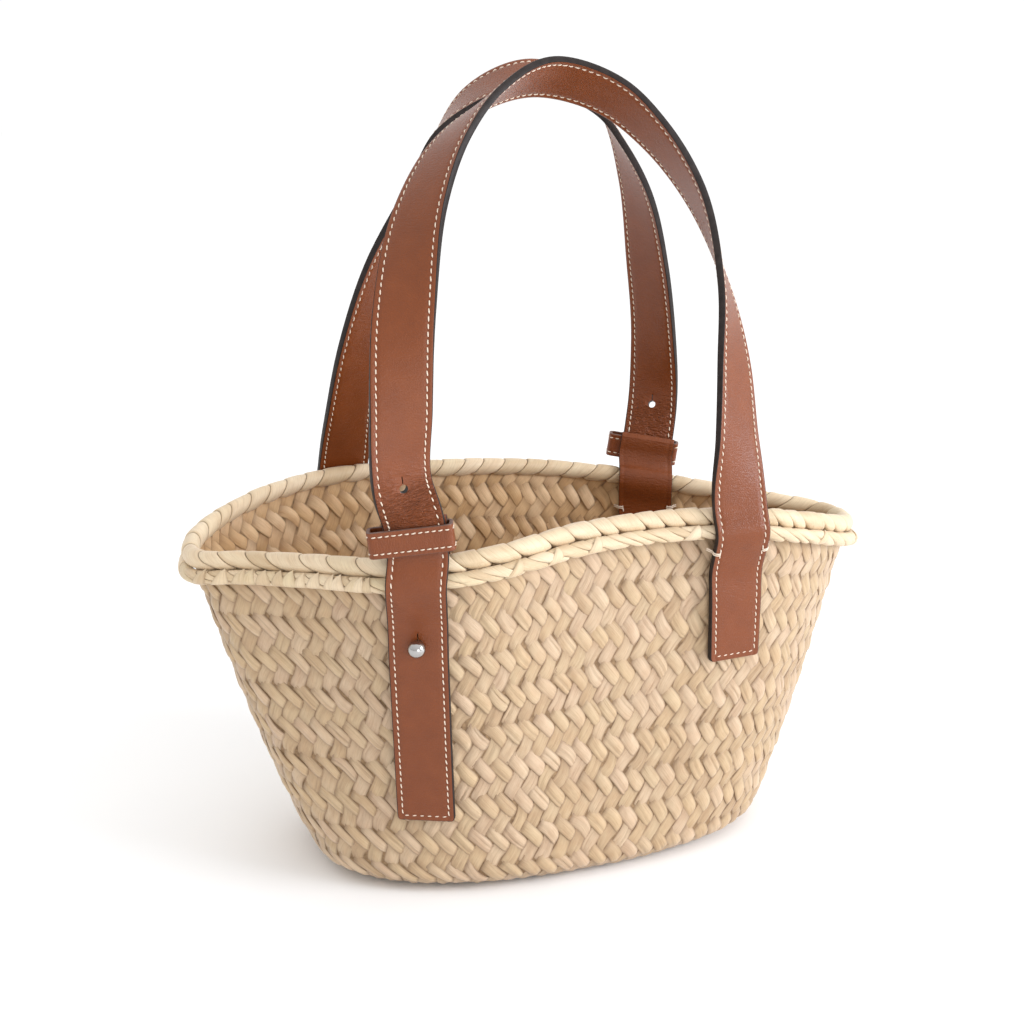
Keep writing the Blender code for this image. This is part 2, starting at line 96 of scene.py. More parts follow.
# The rim's crest. Angles run from +X towards +Y, a row every 15 degrees. Depth is
# a share of half the mouth's depth, height of the basket's height.
RimRow = namedtuple("RimRow", "angle depth height")
RIM = [
    RimRow(0, 0.00, 0.862),
    RimRow(15, 0.17, 0.867),
    RimRow(30, 0.32, 0.882),
    RimRow(45, 0.54, 0.903),
    RimRow(60, 0.79, 0.931),
    RimRow(75, 0.95, 0.963),
    RimRow(90, 0.95, 0.990),
    RimRow(105, 0.94, 1.000),
    RimRow(120, 0.90, 1.003),
    RimRow(135, 0.79, 0.979),
    RimRow(150, 0.59, 0.945),
    RimRow(165, 0.31, 0.921),
    RimRow(180, 0.00, 0.911),
    RimRow(195, -0.18, 0.914),
    RimRow(210, -0.30, 0.920),
    RimRow(225, -0.57, 0.930),
    RimRow(240, -0.95, 0.945),
    RimRow(255, -1.03, 0.967),
    RimRow(270, -0.87, 0.989),
    RimRow(285, -0.82, 0.997),
    RimRow(300, -0.86, 0.990),
    RimRow(315, -0.79, 0.953),
    RimRow(330, -0.58, 0.908),
    RimRow(345, -0.29, 0.874),
]
RIM_DEPTH = np.array([row.depth for row in RIM])
RIM_HEIGHT = np.array([row.height for row in RIM])

# The free part of each handle, in the handle's own frame, as in the solids
HandleRow = namedtuple("HandleRow", "rise across lean turn")
FRONT_HANDLE = [
    HandleRow(0.17, -1.10, -0.04, 94),
    HandleRow(0.34, -1.10, -0.04, 84),
    HandleRow(0.54, -1.05, 0.07, 62),
    HandleRow(0.74, -0.90, 0.33, 31),
    HandleRow(0.87, -0.68, 0.57, 8),
    HandleRow(0.95, -0.42, 0.77, -14),
    HandleRow(1.00, 0.02, 1.00, -37),
    HandleRow(0.95, 0.40, 0.91, -29),
    HandleRow(0.87, 0.61, 0.78, -16),
    HandleRow(0.74, 0.82, 0.62, 0),
    HandleRow(0.54, 0.96, 0.41, 27),
    HandleRow(0.34, 1.01, 0.27, 54),
    HandleRow(0.17, 1.00, 0.12, 68),
]
BACK_HANDLE = [
    HandleRow(0.17, -1.10, -0.15, 55),
    HandleRow(0.34, -1.08, -0.08, 36),
    HandleRow(0.54, -0.98, 0.11, 26),
    HandleRow(0.74, -0.82, 0.39, 6),
    HandleRow(0.87, -0.63, 0.63, -15),
    HandleRow(0.95, -0.44, 0.83, -28),
    HandleRow(1.00, -0.05, 1.00, -33),
    HandleRow(0.95, 0.35, 1.00, -8),
    HandleRow(0.87, 0.53, 0.94, 15),
    HandleRow(0.74, 0.64, 0.86, 34),
    HandleRow(0.54, 0.84, 0.72, 51),
    HandleRow(0.34, 0.96, 0.54, 61),
    HandleRow(0.17, 1.00, 0.30, 70),
]
Handle = namedtuple("Handle", "name facing spacing shift rows")
HANDLES = [
    Handle("front", 1, FRONT_LEG_SPACING, 0.0, FRONT_HANDLE),
    Handle("back", -1, BACK_LEG_SPACING, BACK_HANDLE_SHIFT, BACK_HANDLE),
]
WallFrame = namedtuple("WallFrame", "point out up along")
LEG_STEPS = 6
ROLL_BENDS = [68, 45, 22, 0]
FOLD_STEPS = 12
SHORT_END_REACH = 0.8
LONG_RUN_REACH = 0.4

# The braid: bands of one falling and one rising row of strips. Slopes are from the
# row's direction. Levels are measured up the wall from the start of the flat base.
BAND_PITCH = 0.022
STRIP_PITCH = 0.00985
FALL_SLOPE = math.radians(54)
RISE_SLOPE = math.radians(58)
TOP_BAND_LEVEL = 0.217
BAND_COUNT = 14
WALL_RUN = 0.195
ROUND_ARC = BASE_ROUND * math.pi / 2
BASE_INSET_LIMIT = BASE_DEPTH / 2 - BASE_ROUND - 0.001
CORE_HALF_THICKNESS = 0.0001
STRIP_FOOT = 0.00138
STRIP_FLOOR = 0.00128
STRIP_CREST = 0.00045
# How much painted shade darkens the strips' sides and undersides, seen in the gaps between strips.
# Inside and under the base it is paler, because some of them still show a little round the rounded lower
# edge.
UNDERSIDE_SHADE = 0.75
PALE_UNDERSIDE_SHADE = 0.45

random = np.random.default_rng(7)


def unit(vector):
    return vector / np.linalg.norm(vector, axis=-1, keepdims=True)


def walk_along(points):
    """Distance walked along points, from zero at the first."""
    return np.concatenate([[0.0], np.cumsum(np.linalg.norm(np.diff(points, axis=0), axis=1))])


def placement(*columns):
    """A matrix from the three directions and the origin of a placement."""
    matrix = Matrix.Identity(4)
    for i, column in enumerate(columns):
        for j in range(3):
            matrix[j][i] = column[j]
    return matrix


def rim_at(angle):
    """Depth (y) and height (z) of the rim's crest at angles in radians."""
    place = np.asarray(angle) / (2 * math.pi) * len(RIM) % len(RIM)
    i = np.floor(place).astype(int)
    u = place - i
    sizes = []
    for size, column in ((MOUTH_DEPTH / 2, RIM_DEPTH), (BASKET_HEIGHT, RIM_HEIGHT)):
        a, b, c, d = (column[(i + k) % len(RIM)] for k in (-1, 0, 1, 2))
        share = b + 0.5 * (
            (c - a) * u
            + (2 * a - 5 * b + 4 * c - d) * u ** 2
            + (3 * b - a - 3 * c + d) * u ** 3
        )
        sizes.append(size * share)
    return sizes


def wall_point(angle, height, inset=0.0):
    """Outer face of the wall at a height, or of the flat base at an inset."""
    angle, height, inset = np.broadcast_arrays(
        np.asarray(angle, float), np.asarray(height, float), np.asarray(inset, float)
    )
    rim_y, crest = rim_at(angle)
    below = np.clip(BASE_ROUND - height, 0.0, BASE_ROUND)
    tuck = inset + BASE_ROUND - np.sqrt(BASE_ROUND ** 2 - below ** 2)
    cosine, sine = np.cos(angle), np.sin(angle)
    base_x = (BASE_LENGTH / 2 - tuck) * cosine
    base_y = (BASE_DEPTH / 2 - tuck) * np.copysign(np.abs(sine) ** BASE_SQUARENESS, sine)
    base_y = base_y + BASE_SKEW * cosine
    flare = (np.clip(height, 0.0, None) / crest) ** FLARE_POWER
    return np.stack([
        base_x + (MOUTH_LENGTH / 2 * cosine - base_x) * flare,
        base_y + (rim_y - base_y) * flare,
        height,
    ], axis=-1)


def level_point(angle, level):
    """Outer face at a level: up the wall, round the edge or in under the base."""
    angle, level = np.broadcast_arrays(np.asarray(angle, float), np.asarray(level, float))
    crest = rim_at(angle)[1]
    bend = np.clip(level, 0.0, ROUND_ARC) / BASE_ROUND
    above = (level - ROUND_ARC) / WALL_RUN * (crest - BASE_ROUND)
    height = np.where(level < ROUND_ARC, BASE_ROUND * (1 - np.cos(bend)), BASE_ROUND + above)
    inset = np.clip(-level, 0.0, BASE_INSET_LIMIT)
    return wall_point(angle, height, inset)


def level_frame(angle, level):
    """Points of the outer face and its outward directions."""
    turn, climb = 0.002, 0.0005
    along = level_point(angle + turn, level) - level_point(angle - turn, level)
    clear = np.clip(level, climb - BASE_INSET_LIMIT, None)
    up = level_point(angle, clear + climb) - level_point(angle, clear - climb)
    return level_point(angle, level), unit(np.cross(along, up))


def wall_frame(angle, height):
    """Point, outward and upward directions of the wall's outer face."""
    probe = 0.0005
    turn = probe / MOUTH_LENGTH
    along = wall_point(angle + turn, height) - wall_point(angle - turn, height)
    up = unit(wall_point(angle, height + probe) - wall_point(angle, height - probe))
    return WallFrame(wall_point(angle, height), unit(np.cross(along, up)), up, along / (2 * turn))


def leg_frame(angle, drop, swing=0.0):
    """Frame of the wall where a leg that hangs square to the rim is a drop below it."""
    height = rim_at(angle)[1] - drop
    foot = wall_frame(angle, rim_at(angle)[1])
    side = unit(foot.along)
    aside = swing * max(0.0, drop - STUD_DROP) / (TAIL_DROP - STUD_DROP)
    for step in range(LEG_STEPS):
        there = wall_frame(angle, height)
        slip = (there.point - foot.point) @ side - aside
        angle -= slip / (there.along @ side)
    return wall_frame(angle, height)


def cord_place():
    """How far the cord's centre lies outside the wall, and below the crest."""
    standoff = RIM_CORD_DIAMETER / 2 + CLEARANCE
    across = standoff + WALL / 2
    apart = (RIM_ROLL_DIAMETER + RIM_CORD_DIAMETER) / 2 + CLEARANCE
    return standoff, RIM_ROLL_DIAMETER / 2 + math.sqrt(apart ** 2 - across ** 2)


def leg_angle(handle, side):
    """Angle on the rim at which a leg stands; side is -1 adjustable, 1 fixed."""
    across = handle.facing * (handle.shift * handle.facing + side * handle.spacing / 2)
    return -handle.facing * math.acos(across / (MOUTH_LENGTH / 2)) % (2 * math.pi)


def strap_standoff():
    """Standoff of the strap's middle where it passes the rim roll and the keeper."""
    return (RIM_ROLL_DIAMETER - WALL) / 2 + CLEARANCE + STRAP_EASE + STRAP_THICKNESS / 2


def keeper_frame(angle):
    """Middle of the strap at the keeper, with its side, out and up directions."""
    there = leg_frame(angle, -KEEPER_RISE)
    side = unit(np.cross(there.out, there.up))
    return there.point + there.out * strap_standoff(), side, there.out, there.up


def leg_rows(angle, end_drop, kept):
    """Centres and outward directions of a leg, from its end up to the rim or keeper."""
    lie = CLEARANCE + STRAP_EASE + STRAP_THICKNESS / 2
    cord_standoff, cord_drop = cord_place()
    over_cord = cord_standoff + RIM_CORD_DIAMETER / 2 + lie
    settled = cord_drop + SETTLE_LENGTH
    stretch = end_drop - settled
    count = max(1, round(stretch / 0.020))
    rows = [(end_drop - stretch * i / count, lie) for i in range(count + 1)]
    rows.append((cord_drop + SETTLE_LENGTH / 2, (lie + over_cord) / 2))
    rows.append((cord_drop, over_cord))
    if not kept:
        rows.append((0.0, strap_standoff()))
    held = []
    for drop, standoff in rows:
        there = leg_frame(angle, drop, TAIL_SWING if kept else 0.0)
        held.append((there.point + there.out * standoff, there.out))
    if kept:
        centre, side, out, up = keeper_frame(angle)
        half = KEEPER_HEIGHT / 2 + CLEARANCE
        held += [(centre + up * reach, out) for reach in (-half, 0.0, half)]
    return held


def smooth_path(knots, values, places):
    """Points and tangents of a smooth curve through values at given places."""
    slopes = np.gradient(values, knots, axis=0)
    i = np.clip(np.searchsorted(knots, places, side="right") - 1, 0, len(knots) - 2)
    span = (knots[i + 1] - knots[i])[:, None]
    u = (places - knots[i])[:, None] / span
    start, end = values[i], values[i + 1]
    leave, arrive = slopes[i] * span, slopes[i + 1] * span
    points = (
        start * (2 * u ** 3 - 3 * u ** 2 + 1)
        + leave * (u ** 3 - 2 * u ** 2 + u)
        + end * (3 * u ** 2 - 2 * u ** 3)
        + arrive * (u ** 3 - u ** 2)
    )
    tangents = (
        (start - end) * (6 * u ** 2 - 6 * u)
        + leave * (3 * u ** 2 - 4 * u + 1)
        + arrive * (3 * u ** 2 - 2 * u)
    )
    return points, tangents


Route = namedtuple("Route", "knots values")
Spot = namedtuple("Spot", "centre along across face")


def strap_route(handle):
    """Knots and values (centre and width direction) of a handle's strap."""
    turn = np.array([handle.facing, handle.facing, 1.0])
    adjustable = leg_rows(leg_angle(handle, -1), TAIL_DROP, kept=True)
    fixed = leg_rows(leg_angle(handle, 1), FIXED_END_DROP, kept=False)
    feet = [wall_frame(a, rim_at(a)[1]) for a in (leg_angle(handle, -1), leg_angle(handle, 1))]
    feet = [(foot.point + foot.out * strap_standoff()) * turn for foot in feet]
    apex = np.array([0.0, -APEX_SPACING / 2, BASKET_HEIGHT + HANDLE_RISE])
    top = [row.rise for row in handle.rows].index(1.0)
    free = []
    for i, row in enumerate(handle.rows):
        foot = feet[0] if i < top else feet[1] if i > top else apex
        free.append(np.array([
            row.across * handle.spacing / 2 + handle.shift * handle.facing,
            foot[1] + row.lean * (apex[1] - foot[1]),
            foot[2] + row.rise * (apex[2] - foot[2]),
        ]) * turn)
    held = adjustable + fixed[::-1]
    start = len(adjustable)
    centres = [c for c, out in adjustable] + free + [c for c, out in fixed[::-1]]
    knots = walk_along(centres)
    slopes = np.gradient(np.array(centres), knots, axis=0)
    across = []
    for i, slope in enumerate(slopes):
        along = unit(slope)
        if start <= i < start + len(free):
            flat = np.array([0.0, handle.facing, 0.0])
            flat = unit(flat - along * (flat @ along))
            bend = math.radians(handle.rows[i - start].turn)
            across.append(flat * math.cos(bend) + np.cross(along, flat) * math.sin(bend))
        else:
            out = held[i if i < start else i - len(free)][1]
            across.append(unit(np.cross(out, along)))
    return Route(knots, np.hstack([centres, across]))


def route_spots(route, places):
    """Centres and directions of a route at given distances along it."""
    points, tangents = smooth_path(route.knots, route.values, np.asarray(places, float))
    along = unit(tangents[:, :3])
    across = points[:, 3:]
    across = unit(across - along * np.sum(across * along, axis=1, keepdims=True))
    return Spot(points[:, :3], along, across, np.cross(along, across))


def tab_gap(handle):
    """Room between the wall's inner face and the middle of the flat tab."""
    leg = leg_angle(handle, -1)
    sags = []
    for drop in (0.0, STUD_DROP, TAB_DROP):
        there = leg_frame(leg, drop)
        angle = leg
        spread = TAB_WIDTH / 2 / np.linalg.norm(there.along)
        height = there.point[2]
        for step in range(LEG_STEPS):
            near = wall_frame(angle, height)
            slip = (near.point - there.point) @ unit(there.along)
            angle -= slip / (near.along @ unit(there.along))
        sides = [wall_point(angle + reach, height) for reach in (-spread, spread)]
        sags.append(max(0.0, max((there.point - side) @ there.out for side in sides)))
    return TAB_EASE + max(sags)


def tab_route(handle):
    """Route of the middle of the tab's sheet, from its short end to its foot."""
    leg = leg_angle(handle, -1)
    origin, side, out, up = keeper_frame(leg)
    gap = tab_gap(handle)
    half = KEEPER_HEIGHT / 2
    front = -(STRAP_THICKNESS / 2 + TAB_THICKNESS + CLEARANCE)
    rear = front - KEEPER_THICKNESS - 2 * CLEARANCE
    middle, radius = (front + rear) / 2, (front - rear) / 2
    fold = [(front, -half * SHORT_END_REACH)]
    for i in range(FOLD_STEPS + 1):
        turn = math.pi * i / FOLD_STEPS
        fold.append((
            middle + radius * math.cos(turn),
            half + CLEARANCE - radius / 2 + radius * math.sin(turn),
        ))
    fold.append((rear, -half * LONG_RUN_REACH))
    path = [(origin + out * x + up * y, side) for x, y in fold]
    roll_drop = RIM_ROLL_DIAMETER / 2
    clear = roll_drop + gap
    hung = []
    for turn in ROLL_BENDS:
        bend = math.radians(turn)
        hung.append((roll_drop - clear * math.sin(bend), WALL / 2 + clear * math.cos(bend), 0.0))
    disc = STUD_BASE_DIAMETER / 2
    hung.append((RIM_ROLL_DIAMETER + SETTLE_LENGTH / 2, WALL + gap, 0.0))
    hung += [(STUD_DROP, WALL + gap, disc), (STUD_DROP, WALL + gap, -disc)]
    hung.append((TAB_DROP, WALL + gap, 0.0))
    for drop, inside, reach in hung:
        there = leg_frame(leg, drop)
        point = there.point - there.out * inside + there.up * reach
        path.append((point, unit(np.cross(there.out, there.up))))
    centres = np.array([point for point, side in path])
    sides = np.array([side for point, side in path])
    knots = walk_along(centres)
    slopes = np.gradient(centres, knots, axis=0)
    raised = centres + unit(np.cross(unit(slopes), sides)) * TAB_THICKNESS / 2
    return Route(knots, np.hstack([raised, sides]))


# Mesh building

def grid_faces(rows, columns, close_rows=False, close_columns=False):
    """Quads of a grid of points, as an array of point numbers."""
    i = np.arange(rows if close_rows else rows - 1)[:, None]
    j = np.arange(columns if close_columns else columns - 1)[None, :]
    a, b = i * columns + j, i * columns + (j + 1) % columns
    i = (i + 1) % rows
    c, d = i * columns + (j + 1) % columns, i * columns + j
    return np.stack([a, b, c, d], axis=-1).reshape(-1, 4)


def make_mesh(name, points, faces, materials, slots=None, uv=None, tint=None, mark=None,
              sharp=40.0):
    """An object from arrays. uv, tint and mark hold one value a point."""
    mesh = bpy.data.meshes.new(name)
    mesh.from_pydata(np.asarray(points).tolist(), [], [tuple(face) for face in faces])
    for finish in materials:
        mesh.materials.append(finish)
    if slots is not None:
        mesh.polygons.foreach_set("material_index", np.asarray(slots, np.int32))
    corner = np.zeros(len(mesh.loops), np.int32)
    mesh.loops.foreach_get("vertex_index", corner)
    if uv is not None:
        layer = mesh.uv_layers.new(name="strip")
        layer.data.foreach_set("uv", np.asarray(uv, np.float32)[corner].ravel())
    for label, values in (("tint", tint), ("mark", mark)):
        if values is not None:
            layer = mesh.attributes.new(label, "FLOAT", "POINT")
            layer.data.foreach_set("value", np.asarray(values, np.float32))
    mesh.shade_smooth()
    mesh.set_sharp_from_angle(angle=math.radians(sharp))
    mesh.validate()
    made = bpy.data.objects.new(name, mesh)
    bpy.context.scene.collection.objects.link(made)
    return made


def finish_piece(piece, slot, *nodes):
    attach(piece, "root")
    if nodes:
        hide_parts(*nodes)


# Materials

def new_material(name, roughness, specular=0.5):
    """A material with its Principled shader, and short ways to add nodes to it."""
    made = bpy.data.materials.new(name)
    made.use_nodes = True
    nodes = made.node_tree.nodes
    shader = nodes["Principled BSDF"]
    shader.inputs["Roughness"].default_value = roughness
    shader.inputs["Specular IOR Level"].default_value = specular
    return made, shader


def add_node(finish, kind, links=(), **values):
    """A node of a kind, with its sockets linked or set."""
    tree = finish.node_tree
    node = tree.nodes.new(kind)
    for key, value in values.items():
        if key in node.inputs:
            node.inputs[key].default_value = value
        else:
            setattr(node, key, value)
    for key, source in links:
        tree.links.new(source, node.inputs[key])
    return node


def ramp(finish, source, stops):
    """A colour ramp on a value, from (place, colour) stops."""
    node = add_node(finish, "ShaderNodeValToRGB", links=[("Fac", source)])
    band = node.color_ramp
    while len(band.elements) < len(stops):
        band.elements.new(0.5)
    for element, (place, colour) in zip(band.elements, stops):
        element.position = place
        element.color = (*colour, 1.0)
    return node.outputs["Color"]


def mix_colour(finish, kind, amount, first, second):
    """One colour laid over another; amount is a number or a value socket."""
    node = add_node(finish, "ShaderNodeMix", data_type="RGBA", blend_type=kind)
    tree = finish.node_tree
    for number, source in ((0, amount), (6, first), (7, second)):
        if isinstance(source, (int, float)):
            node.inputs[number].default_value = source
        elif isinstance(source, tuple):
            node.inputs[number].default_value = (*source, 1.0)
        else:
            tree.links.new(source, node.inputs[number])
    return node.outputs[2]


def link(finish, source, shader, socket):
    finish.node_tree.links.new(source, shader.inputs[socket])


def straw_material(name, tones, dark, fibre_depth):
    """Dry leaf strip: a tone a strip, long fibres, blotches and fine ridges."""
    finish, shader = new_material(name, 0.50, 0.45)
    shader.inputs["Sheen Weight"].default_value = 0.15
    shader.inputs["Sheen Roughness"].default_value = 0.5
    uv = add_node(finish, "ShaderNodeUVMap", uv_map="strip").outputs["UV"]
    tint = add_node(finish, "ShaderNodeAttribute", attribute_name="tint").outputs["Fac"]
    mark = add_node(finish, "ShaderNodeAttribute", attribute_name="mark").outputs["Fac"]
    stretch = add_node(
        finish, "ShaderNodeMapping", links=[("Vector", uv)], Scale=(0.5, 9.0, 1.0)
    ).outputs["Vector"]
    fibres = add_node(
        finish, "ShaderNodeTexNoise", links=[("Vector", stretch)],
        Scale=1.6, Detail=5.0, Roughness=0.65,
    ).outputs["Fac"]
    blotch = add_node(
        finish, "ShaderNodeTexNoise", links=[("Vector", uv)], Scale=1.1, Detail=2.0
    ).outputs["Fac"]
    colour = ramp(finish, tint, tones)
    streaks = ramp(finish, fibres, [
        (0.30, (0.80, 0.74, 0.66)), (0.50, (1.0, 1.0, 1.0)), (0.72, (1.10, 1.07, 1.02)),
    ])
    colour = mix_colour(finish, "MULTIPLY", 0.75, colour, streaks)
    patches = ramp(finish, blotch, [
        (0.35, (0.90, 0.84, 0.80)), (0.60, (1.0, 1.0, 1.0)),
    ])
    colour = mix_colour(finish, "MULTIPLY", 0.7, colour, patches)
    # The mark attribute mixes the dark colour in as painted shade.
    colour = mix_colour(finish, "MIX", mark, colour, dark)
    link(finish, colour, shader, "Base Color")
    bump = add_node(
        finish, "ShaderNodeBump", links=[("Height", fibres)],
        Strength=0.55, Distance=fibre_depth,
    ).outputs["Normal"]
    link(finish, bump, shader, "Normal")
    return finish


def leather_material(name, tones, roughness):
    """Smooth tan leather with grain, soft mottling and creases where marked."""
    finish, shader = new_material(name, roughness, 0.42)
    shader.inputs["Sheen Weight"].default_value = 0.02
    shader.inputs["Sheen Roughness"].default_value = 0.45
    shader.inputs["Sheen Tint"].default_value = (1.0, 0.80, 0.74, 1.0)
    uv = add_node(finish, "ShaderNodeUVMap", uv_map="strip").outputs["UV"]
    mark = add_node(finish, "ShaderNodeAttribute", attribute_name="mark").outputs["Fac"]
    mottle = add_node(
        finish, "ShaderNodeTexNoise", links=[("Vector", uv)], Scale=0.9, Detail=4.0
    ).outputs["Fac"]
    pores = add_node(
        finish, "ShaderNodeTexVoronoi", links=[("Vector", uv)], Scale=16.0, Randomness=1.0
    ).outputs["Distance"]
    fine = add_node(
        finish, "ShaderNodeTexNoise", links=[("Vector", uv)], Scale=28.0, Detail=3.0
    ).outputs["Fac"]
    pulled = add_node(
        finish, "ShaderNodeMapping", links=[("Vector", uv)], Scale=(11.0, 2.6, 1.0)
    ).outputs["Vector"]
    folds = add_node(
        finish, "ShaderNodeTexNoise", links=[("Vector", pulled)],
        Scale=1.0, Detail=3.0, Distortion=0.6,
    ).outputs["Fac"]
    colour = ramp(finish, mottle, tones)
    speckle = ramp(finish, fine, [(0.35, (0.84, 0.80, 0.78)), (0.65, (1.10, 1.08, 1.07))])
    colour = mix_colour(finish, "MULTIPLY", 0.6, colour, speckle)
    link(finish, colour, shader, "Base Color")
    grain = add_node(
        finish, "ShaderNodeBump", links=[("Height", pores)], Strength=0.38, Distance=0.0003
    ).outputs["Normal"]
    worn = add_node(
        finish, "ShaderNodeBump", links=[("Height", fine), ("Normal", grain)],
        Strength=0.18, Distance=0.0002,
    ).outputs["Normal"]
    depth = add_node(
        finish, "ShaderNodeMath", operation="MULTIPLY", links=[(0, folds), (1, mark)]
    ).outputs[0]
    creased = add_node(
        finish, "ShaderNodeBump", links=[("Height", depth), ("Normal", worn)],
        Strength=1.0, Distance=0.0030,
    ).outputs["Normal"]
    link(finish, creased, shader, "Normal")
    return finish


def noise_material(name, tones, roughness, scale, depth, metallic=0.0, specular=0.5):
    """A simple finish: two tones mixed by noise, with a little relief."""
    finish, shader = new_material(name, roughness, specular)
    shader.inputs["Metallic"].default_value = metallic
    place = add_node(finish, "ShaderNodeTexCoord").outputs["Object"]
    noise = add_node(
        finish, "ShaderNodeTexNoise", links=[("Vector", place)], Scale=scale, Detail=3.0
    ).outputs["Fac"]
    link(finish, ramp(finish, noise, tones), shader, "Base Color")
    bump = add_node(
        finish, "ShaderNodeBump", links=[("Height", noise)], Strength=0.3, Distance=depth
    ).outputs["Normal"]
    link(finish, bump, shader, "Normal")
    return finish


# The third colour of each straw finish is the painted shade that the mark attribute mixes in.
straw_outside = straw_material("straw_outside", [
    (0.00, (0.480, 0.338, 0.205)), (0.20, (0.555, 0.398, 0.236)), (0.40, (0.550, 0.407, 0.250)),
    (0.60, (0.568, 0.412, 0.276)), (0.80, (0.600, 0.448, 0.298)), (1.00, (0.530, 0.380, 0.225)),
], (0.12, 0.055, 0.018), 0.0006)
# The inside's tones are the straw's own colour, painted brighter and warmer for the light that shines
# through the walls and bounces round inside: partly own colour, partly painted light.
straw_inside = straw_material("straw_inside", [
    (0.00, (0.56, 0.355, 0.170)), (0.35, (0.68, 0.455, 0.240)), (0.65, (0.73, 0.505, 0.285)),
    (1.00, (0.76, 0.555, 0.345)),
], (0.16, 0.065, 0.014), 0.0006)
straw_wrap = straw_material("straw_wrap", [
    (0.00, (0.61, 0.468, 0.294)), (0.40, (0.71, 0.562, 0.373)), (0.70, (0.76, 0.618, 0.435)),
    (1.00, (0.67, 0.540, 0.342)),
], (0.13, 0.062, 0.022), 0.0005)
# Dark brown as painted shade, for the gaps between the braid's strips.
shaded_straw_core = noise_material("shaded_straw_core", [
    (0.35, (0.17, 0.10, 0.05)), (0.65, (0.30, 0.19, 0.10)),
], 0.85, 400.0, 0.0005)
leather = leather_material("tan_leather", [
    (0.25, (0.172, 0.040, 0.007)), (0.55, (0.190, 0.045, 0.008)), (0.85, (0.210, 0.052, 0.010)),
], 0.34)
leather_edge = noise_material("edge_paint", [
    (0.30, (0.014, 0.010, 0.009)), (0.70, (0.028, 0.020, 0.018)),
], 0.50, 260.0, 0.0002, specular=0.22)
leather_raw = noise_material("leather_rim", [
    (0.30, (0.11, 0.055, 0.040)), (0.70, (0.17, 0.085, 0.060)),
], 0.55, 300.0, 0.0002)
thread = noise_material("cream_thread", [
    (0.30, (0.68, 0.55, 0.43)), (0.70, (0.82, 0.70, 0.57)),
], 0.6, 1600.0, 0.0003)
steel = noise_material("polished_steel", [
    (0.30, (0.40, 0.39, 0.38)), (0.70, (0.48, 0.47, 0.46)),
], 0.10, 90.0, 0.00002, metallic=1.0)


# The braided wall and base

def round_table(level):
    """Angles and distances round the basket at a level, and the whole way round."""
    near = 0.25 * (np.arange(1, 12) / 12) ** 3
    marks = np.concatenate([np.arange(0, 360.0, 0.25), near, 180 + near, 180 - near, 360 - near])
    angles = np.radians(np.append(np.sort(marks), 360.0))
    points = level_point(angles, level)
    steps = np.linalg.norm(np.diff(points, axis=0), axis=1)
    return angles, np.concatenate([[0.0], np.cumsum(steps)])


def perimeter_order(rows, columns):
    """Point numbers round the border of a grid, in order."""
    grid = np.arange(rows * columns).reshape(rows, columns)
    return np.concatenate([
        grid[0, :-1], grid[:-1, -1], grid[-1, :0:-1], grid[:0:-1, 0],
    ])


def ladder_faces(rows, columns):
    """Faces between the long sides of a grid's border, on points in border order."""
    total = 2 * (rows + columns) - 4
    left = [-i % total for i in range(rows)]
    right = [columns - 1 + i for i in range(rows)]
    rungs = []
    for i in range(rows - 1):
        start = list(range(columns)) if i == 0 else [left[i], right[i]]
        end = [right[i + 1], left[i + 1]]
        if i == rows - 2:
            end = list(range(right[-1], right[-1] + columns))
        rungs.append(start + end)
    return rungs


U_OUTSIDE = np.array([-0.18, 0.02, 0.22, 0.44, 0.66, 0.82, 0.93, 1.01, 1.06])
V_OUTSIDE = np.array([0.0, 0.06, 0.16, 0.28, 0.39, 0.50, 0.61, 0.72, 0.84, 0.94, 1.0])
U_INSIDE = np.array([-0.20, 0.05, 0.35, 0.65, 0.92, 1.08])
V_INSIDE = np.array([0.0, 0.10, 0.35, 0.65, 0.90, 1.0])


def strip_heights(u, v, shape, crown, creases):
    """Height of each strip's top over the wall's face, arched along and crowned across."""
    peak, dive, sharpness, drop, steepness, sink = shape
    before = (np.clip(peak - u, 0.0, None) / (peak + 0.18)) ** sharpness
    after = (np.clip(u - peak, 0.0, None) / (1.06 - peak)) ** steepness
    height = STRIP_CREST - sink - dive * before - drop * after
    height = height - crown * np.abs(2 * v - 1) ** 2
    for place, depth, width in creases:
        height = height - depth * np.exp(-(((v - place) / width) ** 2))
    return height


